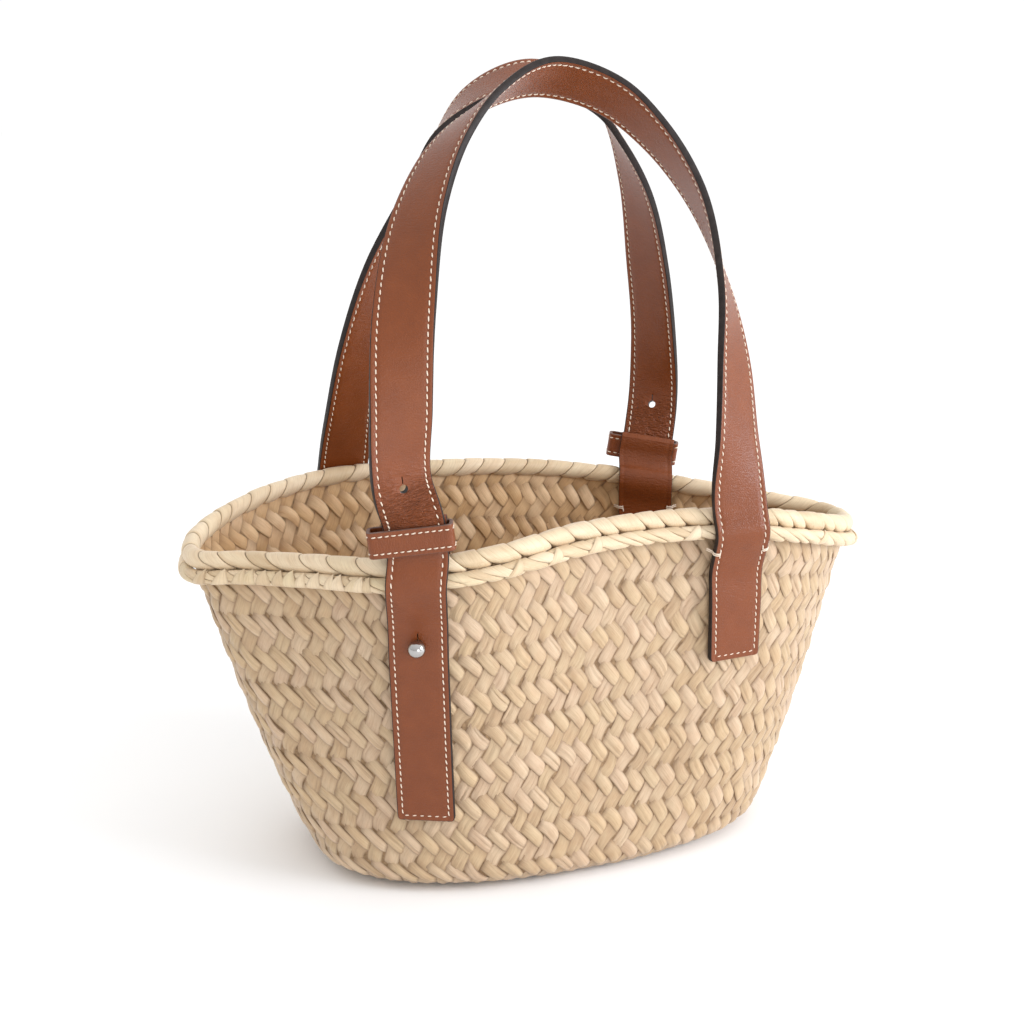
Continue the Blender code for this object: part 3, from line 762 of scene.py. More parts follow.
def braid_band(number, inside):
    """Arrays of one band: a falling row of strips over a rising one."""
    centre = TOP_BAND_LEVEL - BAND_PITCH * number
    angles, walked = round_table(max(centre - BAND_PITCH / 4, -BASE_INSET_LIMIT + 0.004))
    around = walked[-1]
    count = max(8, round(around / STRIP_PITCH))
    pitch = around / count
    fall = np.array([math.cos(FALL_SLOPE), math.sin(FALL_SLOPE)])
    rise = np.array([math.cos(RISE_SLOPE), -math.sin(RISE_SLOPE)])
    fall_step = pitch * math.sin(RISE_SLOPE) / math.sin(FALL_SLOPE + RISE_SLOPE)
    rise_step = pitch * math.sin(FALL_SLOPE) / math.sin(FALL_SLOPE + RISE_SLOPE)
    fall_length = BAND_PITCH / 2 / math.sin(FALL_SLOPE)
    rise_length = BAND_PITCH / 2 / math.sin(RISE_SLOPE)
    phase = random.random() * pitch
    coarse = inside or centre < -BAND_PITCH / 2
    u_marks = U_INSIDE if coarse else U_OUTSIDE
    v_marks = V_INSIDE if coarse else V_OUTSIDE
    u = u_marks[None, :, None]
    v = v_marks[None, None, :]
    rim_order = perimeter_order(len(u_marks), len(v_marks))
    points, faces, uv, tint, mark = [], [], [], [], []
    offset = 0
    for rising in (True,) if number == 0 else (False, True):
        own = random.normal(0.0, 1.0, (count, 10))
        even = random.random((count, 6))
        spread = 1.005 + 0.045 * own[:, 0, None, None]
        tilt = np.radians(2.4) * own[:, 1, None, None]
        shift = 0.00025 * own[:, 2, None, None]
        end_round = 1 - (0.20 if rising else 0.36) * np.clip((u - 0.66) / 0.40, 0.0, 1.0) ** 2.6
        length, step = (rise_length, fall_step) if rising else (fall_length, rise_step)
        across = (v - 0.5) * np.clip(spread, 0.90, 1.10) * end_round * step + shift
        across = across + 0.0006 * own[:, 4, None, None] * (1 - (2 * u - 1) ** 2)
        run = (u - 0.5) * length * (1 + 0.02 * own[:, 3, None, None])
        if rising:
            middle = fall * fall_length + rise * rise_step + (fall * fall_step - rise * length) / 2
            ahead, aside = -rise, fall
            shape = (0.50, 0.0011, 1.8, 0.0011, 1.8, 0.00058)
        else:
            middle = (fall * fall_length + rise * rise_step) / 2
            ahead, aside = fall, rise
            shape = (0.64, 0.0014, 1.5, 0.0016, 3.4, 0.0)
        rows_below = middle[1] - (fall * fall_length + rise * rise_step)[1] / 2
        s = np.arange(count)[:, None, None] * pitch + phase + middle[0]
        s = s + run * (ahead[0] - tilt * ahead[1]) + across * (aside[0] - tilt * aside[1])
        t = rows_below + run * (ahead[1] + tilt * ahead[0]) + across * (aside[1] + tilt * aside[0])
        creases = []
        for k in range(2):
            deep = np.where(even[:, k] < (0.8 if rising else 0.5), 0.0002 + 0.0006 * even[:, k + 2], 0.0)
            creases.append((
                0.2 + 0.6 * even[:, k + 4][:, None, None], deep[:, None, None], 0.07,
            ))
        crown = 0.00120 * (1 + 0.20 * own[:, 5, None, None])
        height = strip_heights(u, v, shape, crown, creases)
        height = height - 0.00018 * np.abs(own[:, 6, None, None])
        height = height + (v - 0.5) * 0.00035 * own[:, 7, None, None]
        level = centre - t
        if not inside:
            height = height - 0.0005 * np.clip(1 - level / ROUND_ARC, 0.0, 1.0)
        height = np.clip(height, -STRIP_FLOOR, STRIP_CREST)
        # Painted shade in the strips' colour: darker along their sides, where they meet their
        # neighbours, and at their tips, where they dive under the next row.
        border = np.clip(1 - 9 * np.minimum(v, 1 - v), 0.0, 1.0)
        tip = np.clip((np.abs(u - 0.5) - 0.46) / 0.08, 0.0, 1.0)
        # Rising strips lie lower: painted shade over the whole strip, deeper towards both ends. Falling
        # strips are darker towards their upper end, where they come out from under the row above:
        # painted shade with some dirt. Inside the basket this shade is stronger.
        if rising:
            shade = 0.09 + 0.36 * np.clip(np.abs(2 * u - 1) - 0.40, 0.0, 1.0)
        else:
            shade = 0.20 * np.clip(1 - u / 0.42, 0.0, 1.0)
        painted_shade = np.maximum(np.maximum(border * 0.70, tip * 0.66), shade * (1.7 if inside else 1.0))
        # Painted shade along the lengthwise creases.
        for place, deep, reach in creases:
            painted_shade = np.maximum(painted_shade, 400 * deep * np.exp(-(((v - place) / reach) ** 2)))
        s, level, height = np.broadcast_arrays(s, level, height)
        cells = s.shape
        s = s.reshape(count, -1)
        level = level.reshape(count, -1)
        height = height.reshape(count, -1)
        s = np.hstack([s, s[:, rim_order]])
        level = np.hstack([level, level[:, rim_order]])
        height = np.hstack([height, np.full((count, len(rim_order)), -STRIP_FOOT)])
        angle = np.interp(s % around, walked, angles)
        if inside:
            angle = np.interp((around - s) % around, walked, angles)
        face, out = level_frame(angle, level)
        if inside:
            face = face - out * WALL
            out = -out
        points.append((face + out * height[..., None]).reshape(-1, 3))
        flat_u = np.broadcast_to(u, cells).reshape(count, -1)
        flat_v = np.broadcast_to(v, cells).reshape(count, -1)
        shift_uv = random.random((count, 2)) * 40
        strip_uv = np.stack([
            flat_u * length * 100 + shift_uv[:, :1], flat_v * step * 100 + shift_uv[:, 1:],
        ], axis=-1)
        uv.append(np.concatenate([strip_uv, strip_uv[:, rim_order]], axis=1).reshape(-1, 2))
        size = flat_u.shape[1] + len(rim_order)
        tint.append(np.repeat(random.random(count), size))
        # Sides and undersides get the painted shade set above; the tops get the mask worked out here.
        dark = np.full((count, size), PALE_UNDERSIDE_SHADE if coarse else UNDERSIDE_SHADE)
        dark[:, :flat_u.shape[1]] = np.broadcast_to(painted_shade, cells).reshape(count, -1)
        mark.append(dark.ravel())
        top = grid_faces(len(u_marks), len(v_marks))[:, ::-1]
        foot = len(u_marks) * len(v_marks) + np.arange(len(rim_order))
        skirt = np.stack([rim_order, np.roll(rim_order, -1), np.roll(foot, -1), foot], axis=-1)
        under = [foot[rung] for rung in ladder_faces(len(u_marks), len(v_marks))]
        for base in offset + size * np.arange(count):
            faces += (top + base).tolist()
            faces += (skirt + base).tolist()
            faces += [(rung + base).tolist() for rung in under]
        offset += count * size
    points, uv, tint, mark = (np.concatenate(rows) for rows in (points, uv, tint, mark))
    return points, faces, uv, tint, mark


def add_braid():
    """All bands of the braid, outside and inside."""
    for inside, label, finish in ((False, "outer", straw_outside), (True, "inner", straw_inside)):
        for number in range(BAND_COUNT):
            points, faces, uv, tint, mark = braid_band(number, inside)
            band = make_mesh(
                f"{label}_band_{number + 1:02d}", points, faces, [finish],
                uv=uv, tint=tint, mark=mark, sharp=60.0,
            )
            finish_piece(band, "woven_straw", "basket_body")


def add_core():
    """The thin dark sheet in the middle of the wall, seen only between strips: its dark brown is painted
    shade in the gaps.
    """
    levels = np.concatenate([
        np.linspace(-BASE_INSET_LIMIT, 0.0, 5), np.linspace(0.0, ROUND_ARC, 13)[1:],
        np.linspace(ROUND_ARC, 0.206, 12)[1:],
    ])
    near = np.array([0.03, 0.12, 0.35, 0.8, 1.5])
    marks = np.concatenate([np.arange(0, 360, 2.5), near, 180 + near, 180 - near, 360 - near])
    angles = np.radians(np.sort(marks))
    face, out = level_frame(angles[None, :], levels[:, None])
    layers = []
    for depth in (WALL / 2 - CORE_HALF_THICKNESS, WALL / 2 + CORE_HALF_THICKNESS):
        layers.append((face - out * depth).reshape(-1, 3))
    rows, columns = len(levels), len(angles)
    outer = grid_faces(rows, columns, close_columns=True)
    inner = outer[:, ::-1] + rows * columns
    faces = outer.tolist() + inner.tolist()
    for j in range(columns):
        a, b = (rows - 1) * columns + j, (rows - 1) * columns + (j + 1) % columns
        faces.append((a, b, b + rows * columns, a + rows * columns))
    faces.append(list(range(columns))[::-1])
    faces.append([rows * columns + j for j in range(columns)])
    core = make_mesh("braid_core", np.concatenate(layers), faces, [shaded_straw_core])
    finish_piece(core, "woven_straw")


def add_centre_seam():
    """The sewn seam along the middle of the base, where the innermost band meets."""
    reach = (BASE_LENGTH - BASE_DEPTH) / 2 + 0.003
    places = np.linspace(-1.0, 1.0, 30)
    wander = 0.0005 * random.normal(size=len(places))
    add_tube(
        "base_centre_seam",
        [(reach * p, BASE_SKEW * p + w, WALL / 2) for p, w in zip(places, wander)],
        0.0013, straw_inside, "woven_straw",
    )


# The wound rim roll and cord

WRAP_MARKS = [0.0, 0.03, 0.10, 0.25, 0.45, 0.65, 0.82, 0.93, 0.975]
WRAP_RISES = [-0.190, -0.110, -0.045, 0.000, 0.020, 0.030, 0.040, 0.030, -0.040]
WRAP_NOTCHES = [0.300, 0.220, 0.120, 0.030, 0.000, 0.000, 0.020, 0.090, 0.200]


def add_wound(name, node, diameter, standoff, drop, wrap, slant, sides, scallop):
    """A roll along the rim, wound with leaf strips that overlap at slanted seams."""
    table = np.radians(np.arange(0, 360.01, 0.25))

    def centre_line(angle):
        there = wall_frame(angle, rim_at(angle)[1] - drop)
        return there.point + there.out * standoff, there.out, there.up

    line = centre_line(table)[0]
    walked = walk_along(line)
    around = walked[-1]
    widths = []
    while sum(widths) < around - wrap / 2:
        widths.append(wrap * (0.62 + 0.82 * random.random()))
    widths = np.array(widths) * around / sum(widths)
    starts = np.concatenate([[0.0], np.cumsum(widths)[:-1]])
    turns = np.linspace(0.0, 2 * math.pi, sides, endpoint=False)
    rings, uv, tint, mark = [], [], [], []
    for start, width in zip(starts, widths):
        tone = random.random()
        lift = 0.025 * random.normal()
        lean = slant * (1 + 0.35 * random.normal())
        phase = random.random() * 30
        flat = 0.03 * random.random()
        flat_turn = random.random() * math.pi
        for place, rise, notch in zip(WRAP_MARKS, WRAP_RISES, WRAP_NOTCHES):
            s = start + place * width - slant * np.sin(turns)
            if place > 0.03:
                s = s - (lean - slant) * np.sin(turns) * math.sin(math.pi * place)
            angle = np.interp(s % around, walked, table)
            centre, out, up = centre_line(angle)
            under = np.clip(-np.sin(turns - 0.3), 0, 1) ** 2
            belly = under * (scallop * math.sin(math.pi * place) - notch)
            ripple = 0.012 * np.sin(3 * turns + phase) * math.sin(math.pi * place)
            lobes = flat * np.cos(2 * (turns - flat_turn)) - flat
            radius = diameter / 2 * (
                1.0 + rise + lift * math.sin(math.pi * place) + belly + ripple + lobes
            )
            direction = out * np.cos(turns)[:, None] + up * np.sin(turns)[:, None]
            rings.append(centre + direction * radius[:, None])
            uv.append(np.stack([
                turns * diameter / 2 * 100 + phase, np.full(sides, place * width * 100 + phase),
            ], axis=-1))
            tint.append(np.full(sides, tone))
            # The first ring of each wrap is marked for painted shade in the sunken seam where the wrap
            # begins.
            mark.append(np.full(sides, 0.8 if place == 0.0 else 0.0))
    points = np.concatenate(rings)
    faces = grid_faces(len(rings), sides, close_rows=True, close_columns=True)
    roll = make_mesh(
        name, points, faces, [straw_wrap],
        uv=np.concatenate(uv), tint=np.concatenate(tint), mark=np.concatenate(mark), sharp=50.0,
    )
    finish_piece(roll, "wrapped_straw", node)


TIP_U = np.array([0.0, 0.15, 0.30, 0.45, 0.60, 0.74, 0.87, 1.0])
TIP_V = np.array([0.0, 0.12, 0.35, 0.65, 0.88, 1.0])


def add_rim_tips():
    """Pointed leaf ends that stand out of the joint of roll and cord, most at the left."""
    standoff, drop = cord_place()
    legs = [leg_angle(handle, side) for handle in HANDLES for side in (-1, 1)]
    legs = [wall_point(leg, rim_at(leg)[1]) for leg in legs]
    u, v = TIP_U[:, None], TIP_V[None, :]
    top = grid_faces(len(TIP_U), len(TIP_V))
    rim_order = perimeter_order(len(TIP_U), len(TIP_V))
    cells = len(TIP_U) * len(TIP_V)
    skirt = np.stack([
        rim_order, rim_order + cells, np.roll(rim_order, -1) + cells, np.roll(rim_order, -1),
    ], axis=-1)
    points, faces, uv, tint, mark = [], [], [], [], []
    angle = 0.02
    while angle < 2 * math.pi:
        there = wall_frame(angle, rim_at(angle)[1])
        pace = np.linalg.norm(there.along)
        crowded = 165 < math.degrees(angle) < 245
        if min(np.linalg.norm(there.point - leg) for leg in legs) > 0.023:
            width = 0.0070 + 0.0040 * random.random()
            lean = 0.0030 + 0.0045 * random.random()
            first = math.radians(-95)
            last = math.radians(78 + 14 * random.random())
            rise = 0.0004 + 0.0010 * random.random()
            across = (v - 0.5) * (width * (1 - u ** 2.2) + 0.0003)
            at = angle + (lean * u + across) / pace
            frame_at = wall_frame(at, rim_at(at)[1] - drop)
            centre = frame_at.point + frame_at.out * standoff
            turn = first + (last - first) * (u + 0 * v)
            way = frame_at.out * np.cos(turn)[..., None] + frame_at.up * np.sin(turn)[..., None]
            lift = rise * u ** 2.2 + 0.0006 * np.sin(math.pi * u) * (1 - (2 * v - 1) ** 2)
            radius = RIM_CORD_DIAMETER / 2 + lift[..., None]
            base = 2 * cells * len(points)
            points.append(np.concatenate([
                (centre + way * radius).reshape(-1, 3),
                (centre + way * (radius - 0.0005)).reshape(-1, 3),
            ]))
            faces += (top[:, ::-1] + base).tolist()
            faces += (top + base + cells).tolist()
            faces += (skirt[:, ::-1] + base).tolist()
            strip_uv = np.stack(np.broadcast_arrays(u * 0.9, v * 0.6), axis=-1).reshape(-1, 2)
            uv.append(np.tile(strip_uv + random.random(2) * 40, (2, 1)))
            tint.append(np.full(2 * cells, random.random()))
            # Painted shade along the sides of each tip.
            painted_shade = np.clip(1 - 7 * np.minimum(v, 1 - v), 0, 1) * 0.35 + 0 * u
            mark.append(np.tile(painted_shade.ravel(), 2))
        angle += (0.0072 if crowded else 0.046) * (0.55 + 0.9 * random.random()) / pace
    tips = make_mesh(
        "rim_leaf_tips", np.concatenate(points), faces, [straw_wrap],
        uv=np.concatenate(uv), tint=np.concatenate(tint), mark=np.concatenate(mark), sharp=60.0,
    )
    finish_piece(tips, "wrapped_straw")


# Leather strips and their stitches

# A strip's first end is painted where it is narrower and thinner by more than this
END_PAINT_NARROW = 0.0002
END_PAINT_THIN = 0.0001


def strip_section(width, thickness, groove, groove_depth, round_size):
    """Closed outline of a leather strip: (across, through, whether painted)."""
    half, thick = width / 2, thickness / 2
    side = [
        (0.0, thick - 0.00005, 0), (groove * 0.45, thick - 0.00002, 0),
        (groove * 0.80, thick, 0), (groove - 0.0009, thick - 0.0001, 0),
        (groove - 0.0003, thick - groove_depth, 0), (groove + 0.0003, thick - groove_depth, 0),
        (groove + 0.0009, thick - 0.00005, 0), (half - round_size, thick, 0),
        (half - round_size * 0.55, thick - round_size * 0.08, 1),
        (half - round_size * 0.20, thick - round_size * 0.30, 1),
        (half, thick - round_size, 1),
    ]
    right = side + [(x, -y, paint) for x, y, paint in side[::-1]]
    left = [(-x, y, paint) for x, y, paint in right[::-1]]
    outline = right + left
    kept = []
    for point in outline:
        if not kept or point[:2] != kept[-1][:2]:
            kept.append(point)
    if kept[0][:2] == kept[-1][:2]:
        kept.pop()
    return kept


def section_arrays(section):
    """A section's places across and through, and whether each is painted."""
    xs, ys, paint = (np.array(values) for values in zip(*section))
    return xs, ys, paint


def sweep_strip(name, route, places, section, shrink, materials, creased=None, ring=False):
    """A leather strip along a route, with rounded and bevelled ends."""
    spots = route_spots(route, places)
    xs, ys, paint = section_arrays(section)
    half = np.abs(xs).max()
    across = xs[None, :] * (1 - shrink[:, :1] / half)
    thick = np.abs(ys).max()
    through = ys[None, :] * (1 - shrink[:, 1:] / thick)
    points = (
        spots.centre[:, None, :]
        + spots.across[:, None, :] * across[..., None]
        + spots.face[:, None, :] * through[..., None]
    )
    rows, columns = len(places), len(xs)
    faces = grid_faces(rows, columns, close_rows=ring, close_columns=True)
    slots = np.tile(
        np.minimum(paint, np.roll(paint, -1)), rows if ring else rows - 1
    ).tolist()
    if not ring:
        for row in range(rows // 2):
            if shrink[row, 0] > END_PAINT_NARROW and shrink[row, 1] > END_PAINT_THIN:
                slots[row * columns:(row + 1) * columns] = [1] * columns
    faces = faces.tolist()
    if not ring:
        faces.append(list(range(columns))[::-1])
        faces.append([(rows - 1) * columns + j for j in range(columns)])
        slots += [1, 1]
    uv = np.stack(np.broadcast_arrays(
        places[:, None] * 100, (xs + np.where(ys < 0, 0.1, 0.0))[None, :] * 100
    ), axis=-1).reshape(-1, 2)
    crease = np.zeros(rows) if creased is None else creased
    return make_mesh(
        name, points.reshape(-1, 3), faces, materials, slots=slots, uv=uv,
        mark=np.repeat(crease, columns), sharp=35.0,
    )


def end_shrink(places, total, corner, bevel):
    """How much narrower and thinner the strip is near its two ends."""
    near = np.minimum(places, total - places)
    narrow = np.clip(corner - near, 0.0, corner)
    thin = np.clip(bevel - near, 0.0, bevel)
    return np.stack([
        corner - np.sqrt(corner ** 2 - narrow ** 2), bevel - np.sqrt(bevel ** 2 - thin ** 2),
    ], axis=-1)


def strip_places(total, step, corner, bevel):
    """Distances at which a strip has rows, closer at its ends."""
    ends = np.array([0.0, bevel * 0.25, bevel * 0.6, bevel, corner * 0.6, corner, corner * 1.5])
    middle = np.linspace(corner * 2, total - corner * 2, max(2, round(total / step)))
    return np.concatenate([ends, middle, total - ends[::-1]])


STITCH_TURNS = np.radians([0, 60, 120, 180, 240, 300])
STITCH_SHARES = np.array([-0.5, -0.32, 0.0, 0.32, 0.5])
STITCH_GIRTHS = np.array([0.35, 0.90, 1.0, 0.90, 0.35])


def stitch_template(length, thickness):
    """Points and faces of one stitch that dips into the leather at both ends."""
    points = []
    for share, girth in zip(STITCH_SHARES, STITCH_GIRTHS):
        sink = thickness * 0.55 * (2 * share) ** 2
        for turn in STITCH_TURNS:
            points.append((
                share * length,
                math.cos(turn) * girth * thickness / 2,
                math.sin(turn) * girth * thickness / 2 - sink,
            ))
    count = len(STITCH_TURNS)
    faces = grid_faces(len(STITCH_SHARES), count, close_columns=True)[:, ::-1].tolist()
    faces.append(list(range(count)))
    faces.append([len(points) - 1 - i for i in range(count)])
    return np.array(points), faces


def add_stitches(name, centres, along, face, length, thickness, slot="tan_leather", tilt=9.0):
    """Many stitches as one mesh, each along its seam and slightly turned."""
    template, faces = stitch_template(length, thickness)
    centres, along, face = (np.asarray(a, float) for a in (centres, along, face))
    lean = np.radians(tilt + 3.0 * random.normal(size=len(centres)))[:, None]
    side = np.cross(face, along)
    ahead = along * np.cos(lean) + side * np.sin(lean)
    aside = np.cross(face, ahead)
    longer = (1 + 0.05 * random.normal(size=len(centres)))[:, None, None]
    points = (
        centres[:, None, :]
        + ahead[:, None, :] * template[None, :, :1] * longer
        + aside[:, None, :] * template[None, :, 1:2]
        + face[:, None, :] * template[None, :, 2:]
    )
    all_faces = []
    for i in range(len(centres)):
        base = i * len(template)
        all_faces += [[base + k for k in f] for f in faces]
    made = make_mesh(name, points.reshape(-1, 3), all_faces, [thread])
    finish_piece(made, slot)
    return made


STITCH_PITCH = 0.0039
STITCH_LENGTH = 0.0028
STITCH_THICKNESS = 0.00074
STITCH_INSET = 0.0032
STITCH_STAND = STITCH_THICKNESS * 0.38
CROSS_SEAM_END = 0.0024
KEEPER_STITCH_PITCH = 0.0034
KEEPER_STITCH_LENGTH = 0.0024
GROOVE_DEPTH = 0.00035
KEEPER_GROOVE_DEPTH = 0.00025
TAB_GROOVE_DEPTH = 0.00020

# The cuts in a strap. The spare hole here is smaller than the solid's, which is 6 mm wide.
SPARE_HOLE_RADIUS = 0.0023
STUD_HOLE_RADIUS = 0.0031
SLIT_SHIFT = 0.0040


def seam(route, places, offset, height, flip):
    """Stitch centres, directions and faces along a strip, on one of its faces."""
    spots = route_spots(route, places)
    centres = spots.centre + spots.across * offset + spots.face * height * flip
    return centres, spots.along, spots.face * flip


def cross_seam(route, place, groove, height, flip):
    """Stitch centres, directions and faces of one row across a strip."""
    spots = route_spots(route, [place])
    count = round(2 * (groove - 0.002) / STITCH_PITCH)
    offsets = np.linspace(-groove + CROSS_SEAM_END, groove - CROSS_SEAM_END, count)
    face = spots.face * flip
    centres = spots.centre + spots.across * offsets[:, None] + face * height
    return centres, np.repeat(spots.across, count, 0), np.repeat(face, count, 0)


def add_strap(handle):
    """The strap, with its holes and slits, stitched on both faces."""
    route = strap_route(handle)
    total = route.knots[-1]
    corner, bevel = 0.0026, 0.0009
    places = strip_places(total, 0.003, corner, bevel)
    shrink = end_shrink(places, total, corner, bevel)
    half = STRAP_WIDTH / 2
    groove = half - STITCH_INSET
    section = strip_section(STRAP_WIDTH, STRAP_THICKNESS, groove, GROOVE_DEPTH, 0.0010)
    kept = len(leg_rows(leg_angle(handle, -1), TAIL_DROP, kept=True))
    keeper_top = route.knots[kept - 1]
    creased = np.exp(-(((places - keeper_top - 0.012) / 0.013) ** 2))
    creased += 0.08
    strap = sweep_strip(
        handle.name + "_strap_leather", route, places, section, shrink,
        [leather, leather_edge], creased,
    )
    stud = leg_frame(leg_angle(handle, -1), STUD_DROP)
    near = np.linspace(0.0, total, 2000)
    spots = route_spots(route, near)
    stud_place = near[np.linalg.norm(spots.centre - stud.point, axis=1).argmin()]
    hole_place = stud_place + SPARE_HOLE_SPACING
    cut_round_hole(strap, route, hole_place, SPARE_HOLE_RADIUS)
    cut_round_hole(strap, route, stud_place, STUD_HOLE_RADIUS)
    cut_slit(strap, route, stud_place + SLIT_SHIFT, 0.0050, 0.0006)
    cut_slit(strap, route, hole_place + SLIT_SHIFT, 0.0055, 0.0005)
    finish_piece(strap, "tan_leather", handle.name + "_strap")
    lift = STRAP_THICKNESS / 2 - GROOVE_DEPTH + STITCH_STAND
    run = np.arange(STITCH_INSET + 0.0020, total - STITCH_INSET - 0.0010, STITCH_PITCH)
    parts = []
    for flip in (1, -1):
        for offset in (-groove, groove):
            parts.append(seam(route, run, offset, lift, flip))
        for place in (STITCH_INSET, total - STITCH_INSET):
            parts.append(cross_seam(route, place, groove, lift, flip))
    add_stitches(
        handle.name + "_strap_stitches", *(np.concatenate(p) for p in zip(*parts)),
        STITCH_LENGTH, STITCH_THICKNESS,
    )
    return route, total


def spot_matrix(route, place, sideways=0.0):
    """Placement at a distance along a route, with Z through the strip."""
    spots = route_spots(route, [place])
    origin = spots.centre[0] + spots.across[0] * sideways
    return placement(spots.across[0], spots.along[0], -spots.face[0], origin)


def apply_cut(piece, cutter):
    """Cut a piece with a temporary cutter, which is then removed."""
    hole = piece.modifiers.new("hole", "BOOLEAN")
    hole.operation = "DIFFERENCE"
    hole.solver = "EXACT"
    hole.object = cutter
    bpy.context.view_layer.update()
    cut = bpy.data.meshes.new_from_object(
        piece.evaluated_get(bpy.context.evaluated_depsgraph_get())
    )
    piece.modifiers.clear()
    piece.data = cut
    bpy.data.objects.remove(cutter, do_unlink=True)


def prism(points, depth, placement):
    """A temporary cutter with an outline in the strip's plane."""
    count = len(points)
    verts = [(x, y, z) for z in (-depth, depth) for x, y in points]
    faces = [list(range(count))[::-1], list(range(count, 2 * count))]
    for i in range(count):
        j = (i + 1) % count
        faces.append([i, j, count + j, count + i])
    mesh = bpy.data.meshes.new("cutter")
    mesh.from_pydata(verts, [], faces)
    mesh.materials.append(leather_edge)
    cutter = bpy.data.objects.new("cutter", mesh)
    bpy.context.scene.collection.objects.link(cutter)
    cutter.matrix_world = placement
    return cutter


def cut_round_hole(strap, route, place, radius):
    """A round hole through a strap."""
    turns = np.radians(np.arange(0, 360, 12))
    outline = [(radius * math.cos(t), radius * math.sin(t)) for t in turns]
    apply_cut(strap, prism(outline, STRAP_THICKNESS, spot_matrix(route, place)))


def cut_slit(strap, route, place, length, width):
    """A narrow slit through a strap, along its length."""
    outline = [
        (-width / 2, -length / 2), (width / 2, -length / 2),
        (width / 2, length / 2), (-width / 2, length / 2),
    ]
    apply_cut(strap, prism(outline, STRAP_THICKNESS, spot_matrix(route, place)))


def add_tube(name, points, radius, finish, slot, sides=8):
    """A round thread along points, of even thickness, closed flat at both ends where it enters what it
    is sewn into.
    """
    points = np.array(points, float)
    knots = walk_along(points)
    places = np.linspace(0.0, knots[-1], 5 * len(points))
    centres, tangents = smooth_path(knots, points, places)
    along = unit(tangents)
    guide = np.array([0.31, 0.52, 0.79])
    first = unit(np.cross(along, guide))
    second = np.cross(along, first)
    turns = np.linspace(0, 2 * math.pi, sides, endpoint=False)
    rings = (
        centres[:, None, :]
        + first[:, None, :] * np.cos(turns)[None, :, None] * radius
        + second[:, None, :] * np.sin(turns)[None, :, None] * radius
    )
    faces = grid_faces(len(places), sides, close_columns=True).tolist()
    faces.append(list(range(sides))[::-1])
    faces.append([(len(places) - 1) * sides + j for j in range(sides)])
    made = make_mesh(name, rings.reshape(-1, 3), faces, [finish])
    finish_piece(made, slot)
    return made


def add_edge_threads(name, centre, along, across, face, half, thickness, groove):
    """White thread taken twice over a strip's edge, on both of its sides."""
    for label, side in (("left", -1), ("right", 1)):
        rows = []
        for step in (0.0, 0.0011):
            rise = thickness / 2 + 0.0003
            rows += [
                centre + across * side * (half + 0.0030) + along * step - face * (rise + 0.0012),
                centre + across * side * (half + 0.0007) + along * step - face * thickness * 0.15,
                centre + across * side * (half + 0.0004) + along * step + face * thickness * 0.35,
                centre + across * side * (half - 0.0010) + along * step + face * rise,
                centre + across * side * (groove + 0.0003) + along * step + face * rise * 0.97,
                centre + across * side * groove + along * (step - 0.0004) + face * rise * 0.80,
            ]
        for number in (0, 1):
            add_tube(
                f"{name}_{label}_{number + 1}", rows[number * 6:number * 6 + 6],
                0.00036, thread, "tan_leather",
            )


def add_fixed_threads(handle, route, total):
    """Thread taken over the fixed leg's edges where its sewn part begins."""
    place = total - (FIXED_END_DROP - 0.021)
    spots = route_spots(route, [place])
    out = leg_frame(leg_angle(handle, 1), 0.021).out
    face = spots.face[0] if spots.face[0] @ out > 0 else -spots.face[0]
    add_edge_threads(
        handle.name + "_leg_thread", spots.centre[0], spots.along[0], spots.across[0], face,
        STRAP_WIDTH / 2, STRAP_THICKNESS, STRAP_WIDTH / 2 - STITCH_INSET,
    )


def keeper_route(handle):
    """Closed route of the middle of the keeper's band."""
    origin, side, out, up = keeper_frame(leg_angle(handle, -1))
    origin = origin + side * handle.facing * KEEPER_SHIFT
    half_width = TAB_WIDTH / 2 + KEEPER_SIDE_EASE + KEEPER_THICKNESS / 2
    back = -(STRAP_THICKNESS / 2 + TAB_THICKNESS + 2 * CLEARANCE + KEEPER_THICKNESS / 2)
    front = STRAP_THICKNESS / 2 + KEEPER_EASE + KEEPER_THICKNESS / 2
    radius = KEEPER_CORNER + KEEPER_THICKNESS / 2
    corners = [
        (half_width, back, -90), (half_width, front, 0),
        (-half_width, front, 90), (-half_width, back, 180),
    ]
    outline = []
    normals = []
    for x, y, start in corners:
        x -= math.copysign(radius, x)
        y += radius if y == back else -radius
        for i in range(9):
            turn = math.radians(start + 90 * i / 8)
            outline.append((x + radius * math.cos(turn), y + radius * math.sin(turn)))
            normals.append((math.cos(turn), math.sin(turn)))
    dense, faces = [], []
    for i in range(len(outline)):
        j = (i + 1) % len(outline)
        gap = math.dist(outline[i], outline[j])
        count = max(1, round(gap / 0.0025))
        for k in range(count):
            share = k / count
            dense.append([
                a + (b - a) * share for a, b in zip(outline[i], outline[j])
            ])
            faces.append([a + (b - a) * share for a, b in zip(normals[i], normals[j])])
    dense, faces = np.array(dense), unit(np.array(faces))
    centres = origin + side * dense[:, :1] + out * dense[:, 1:]
    outward = side * faces[:, :1] + out * faces[:, 1:]
    return centres, outward, up


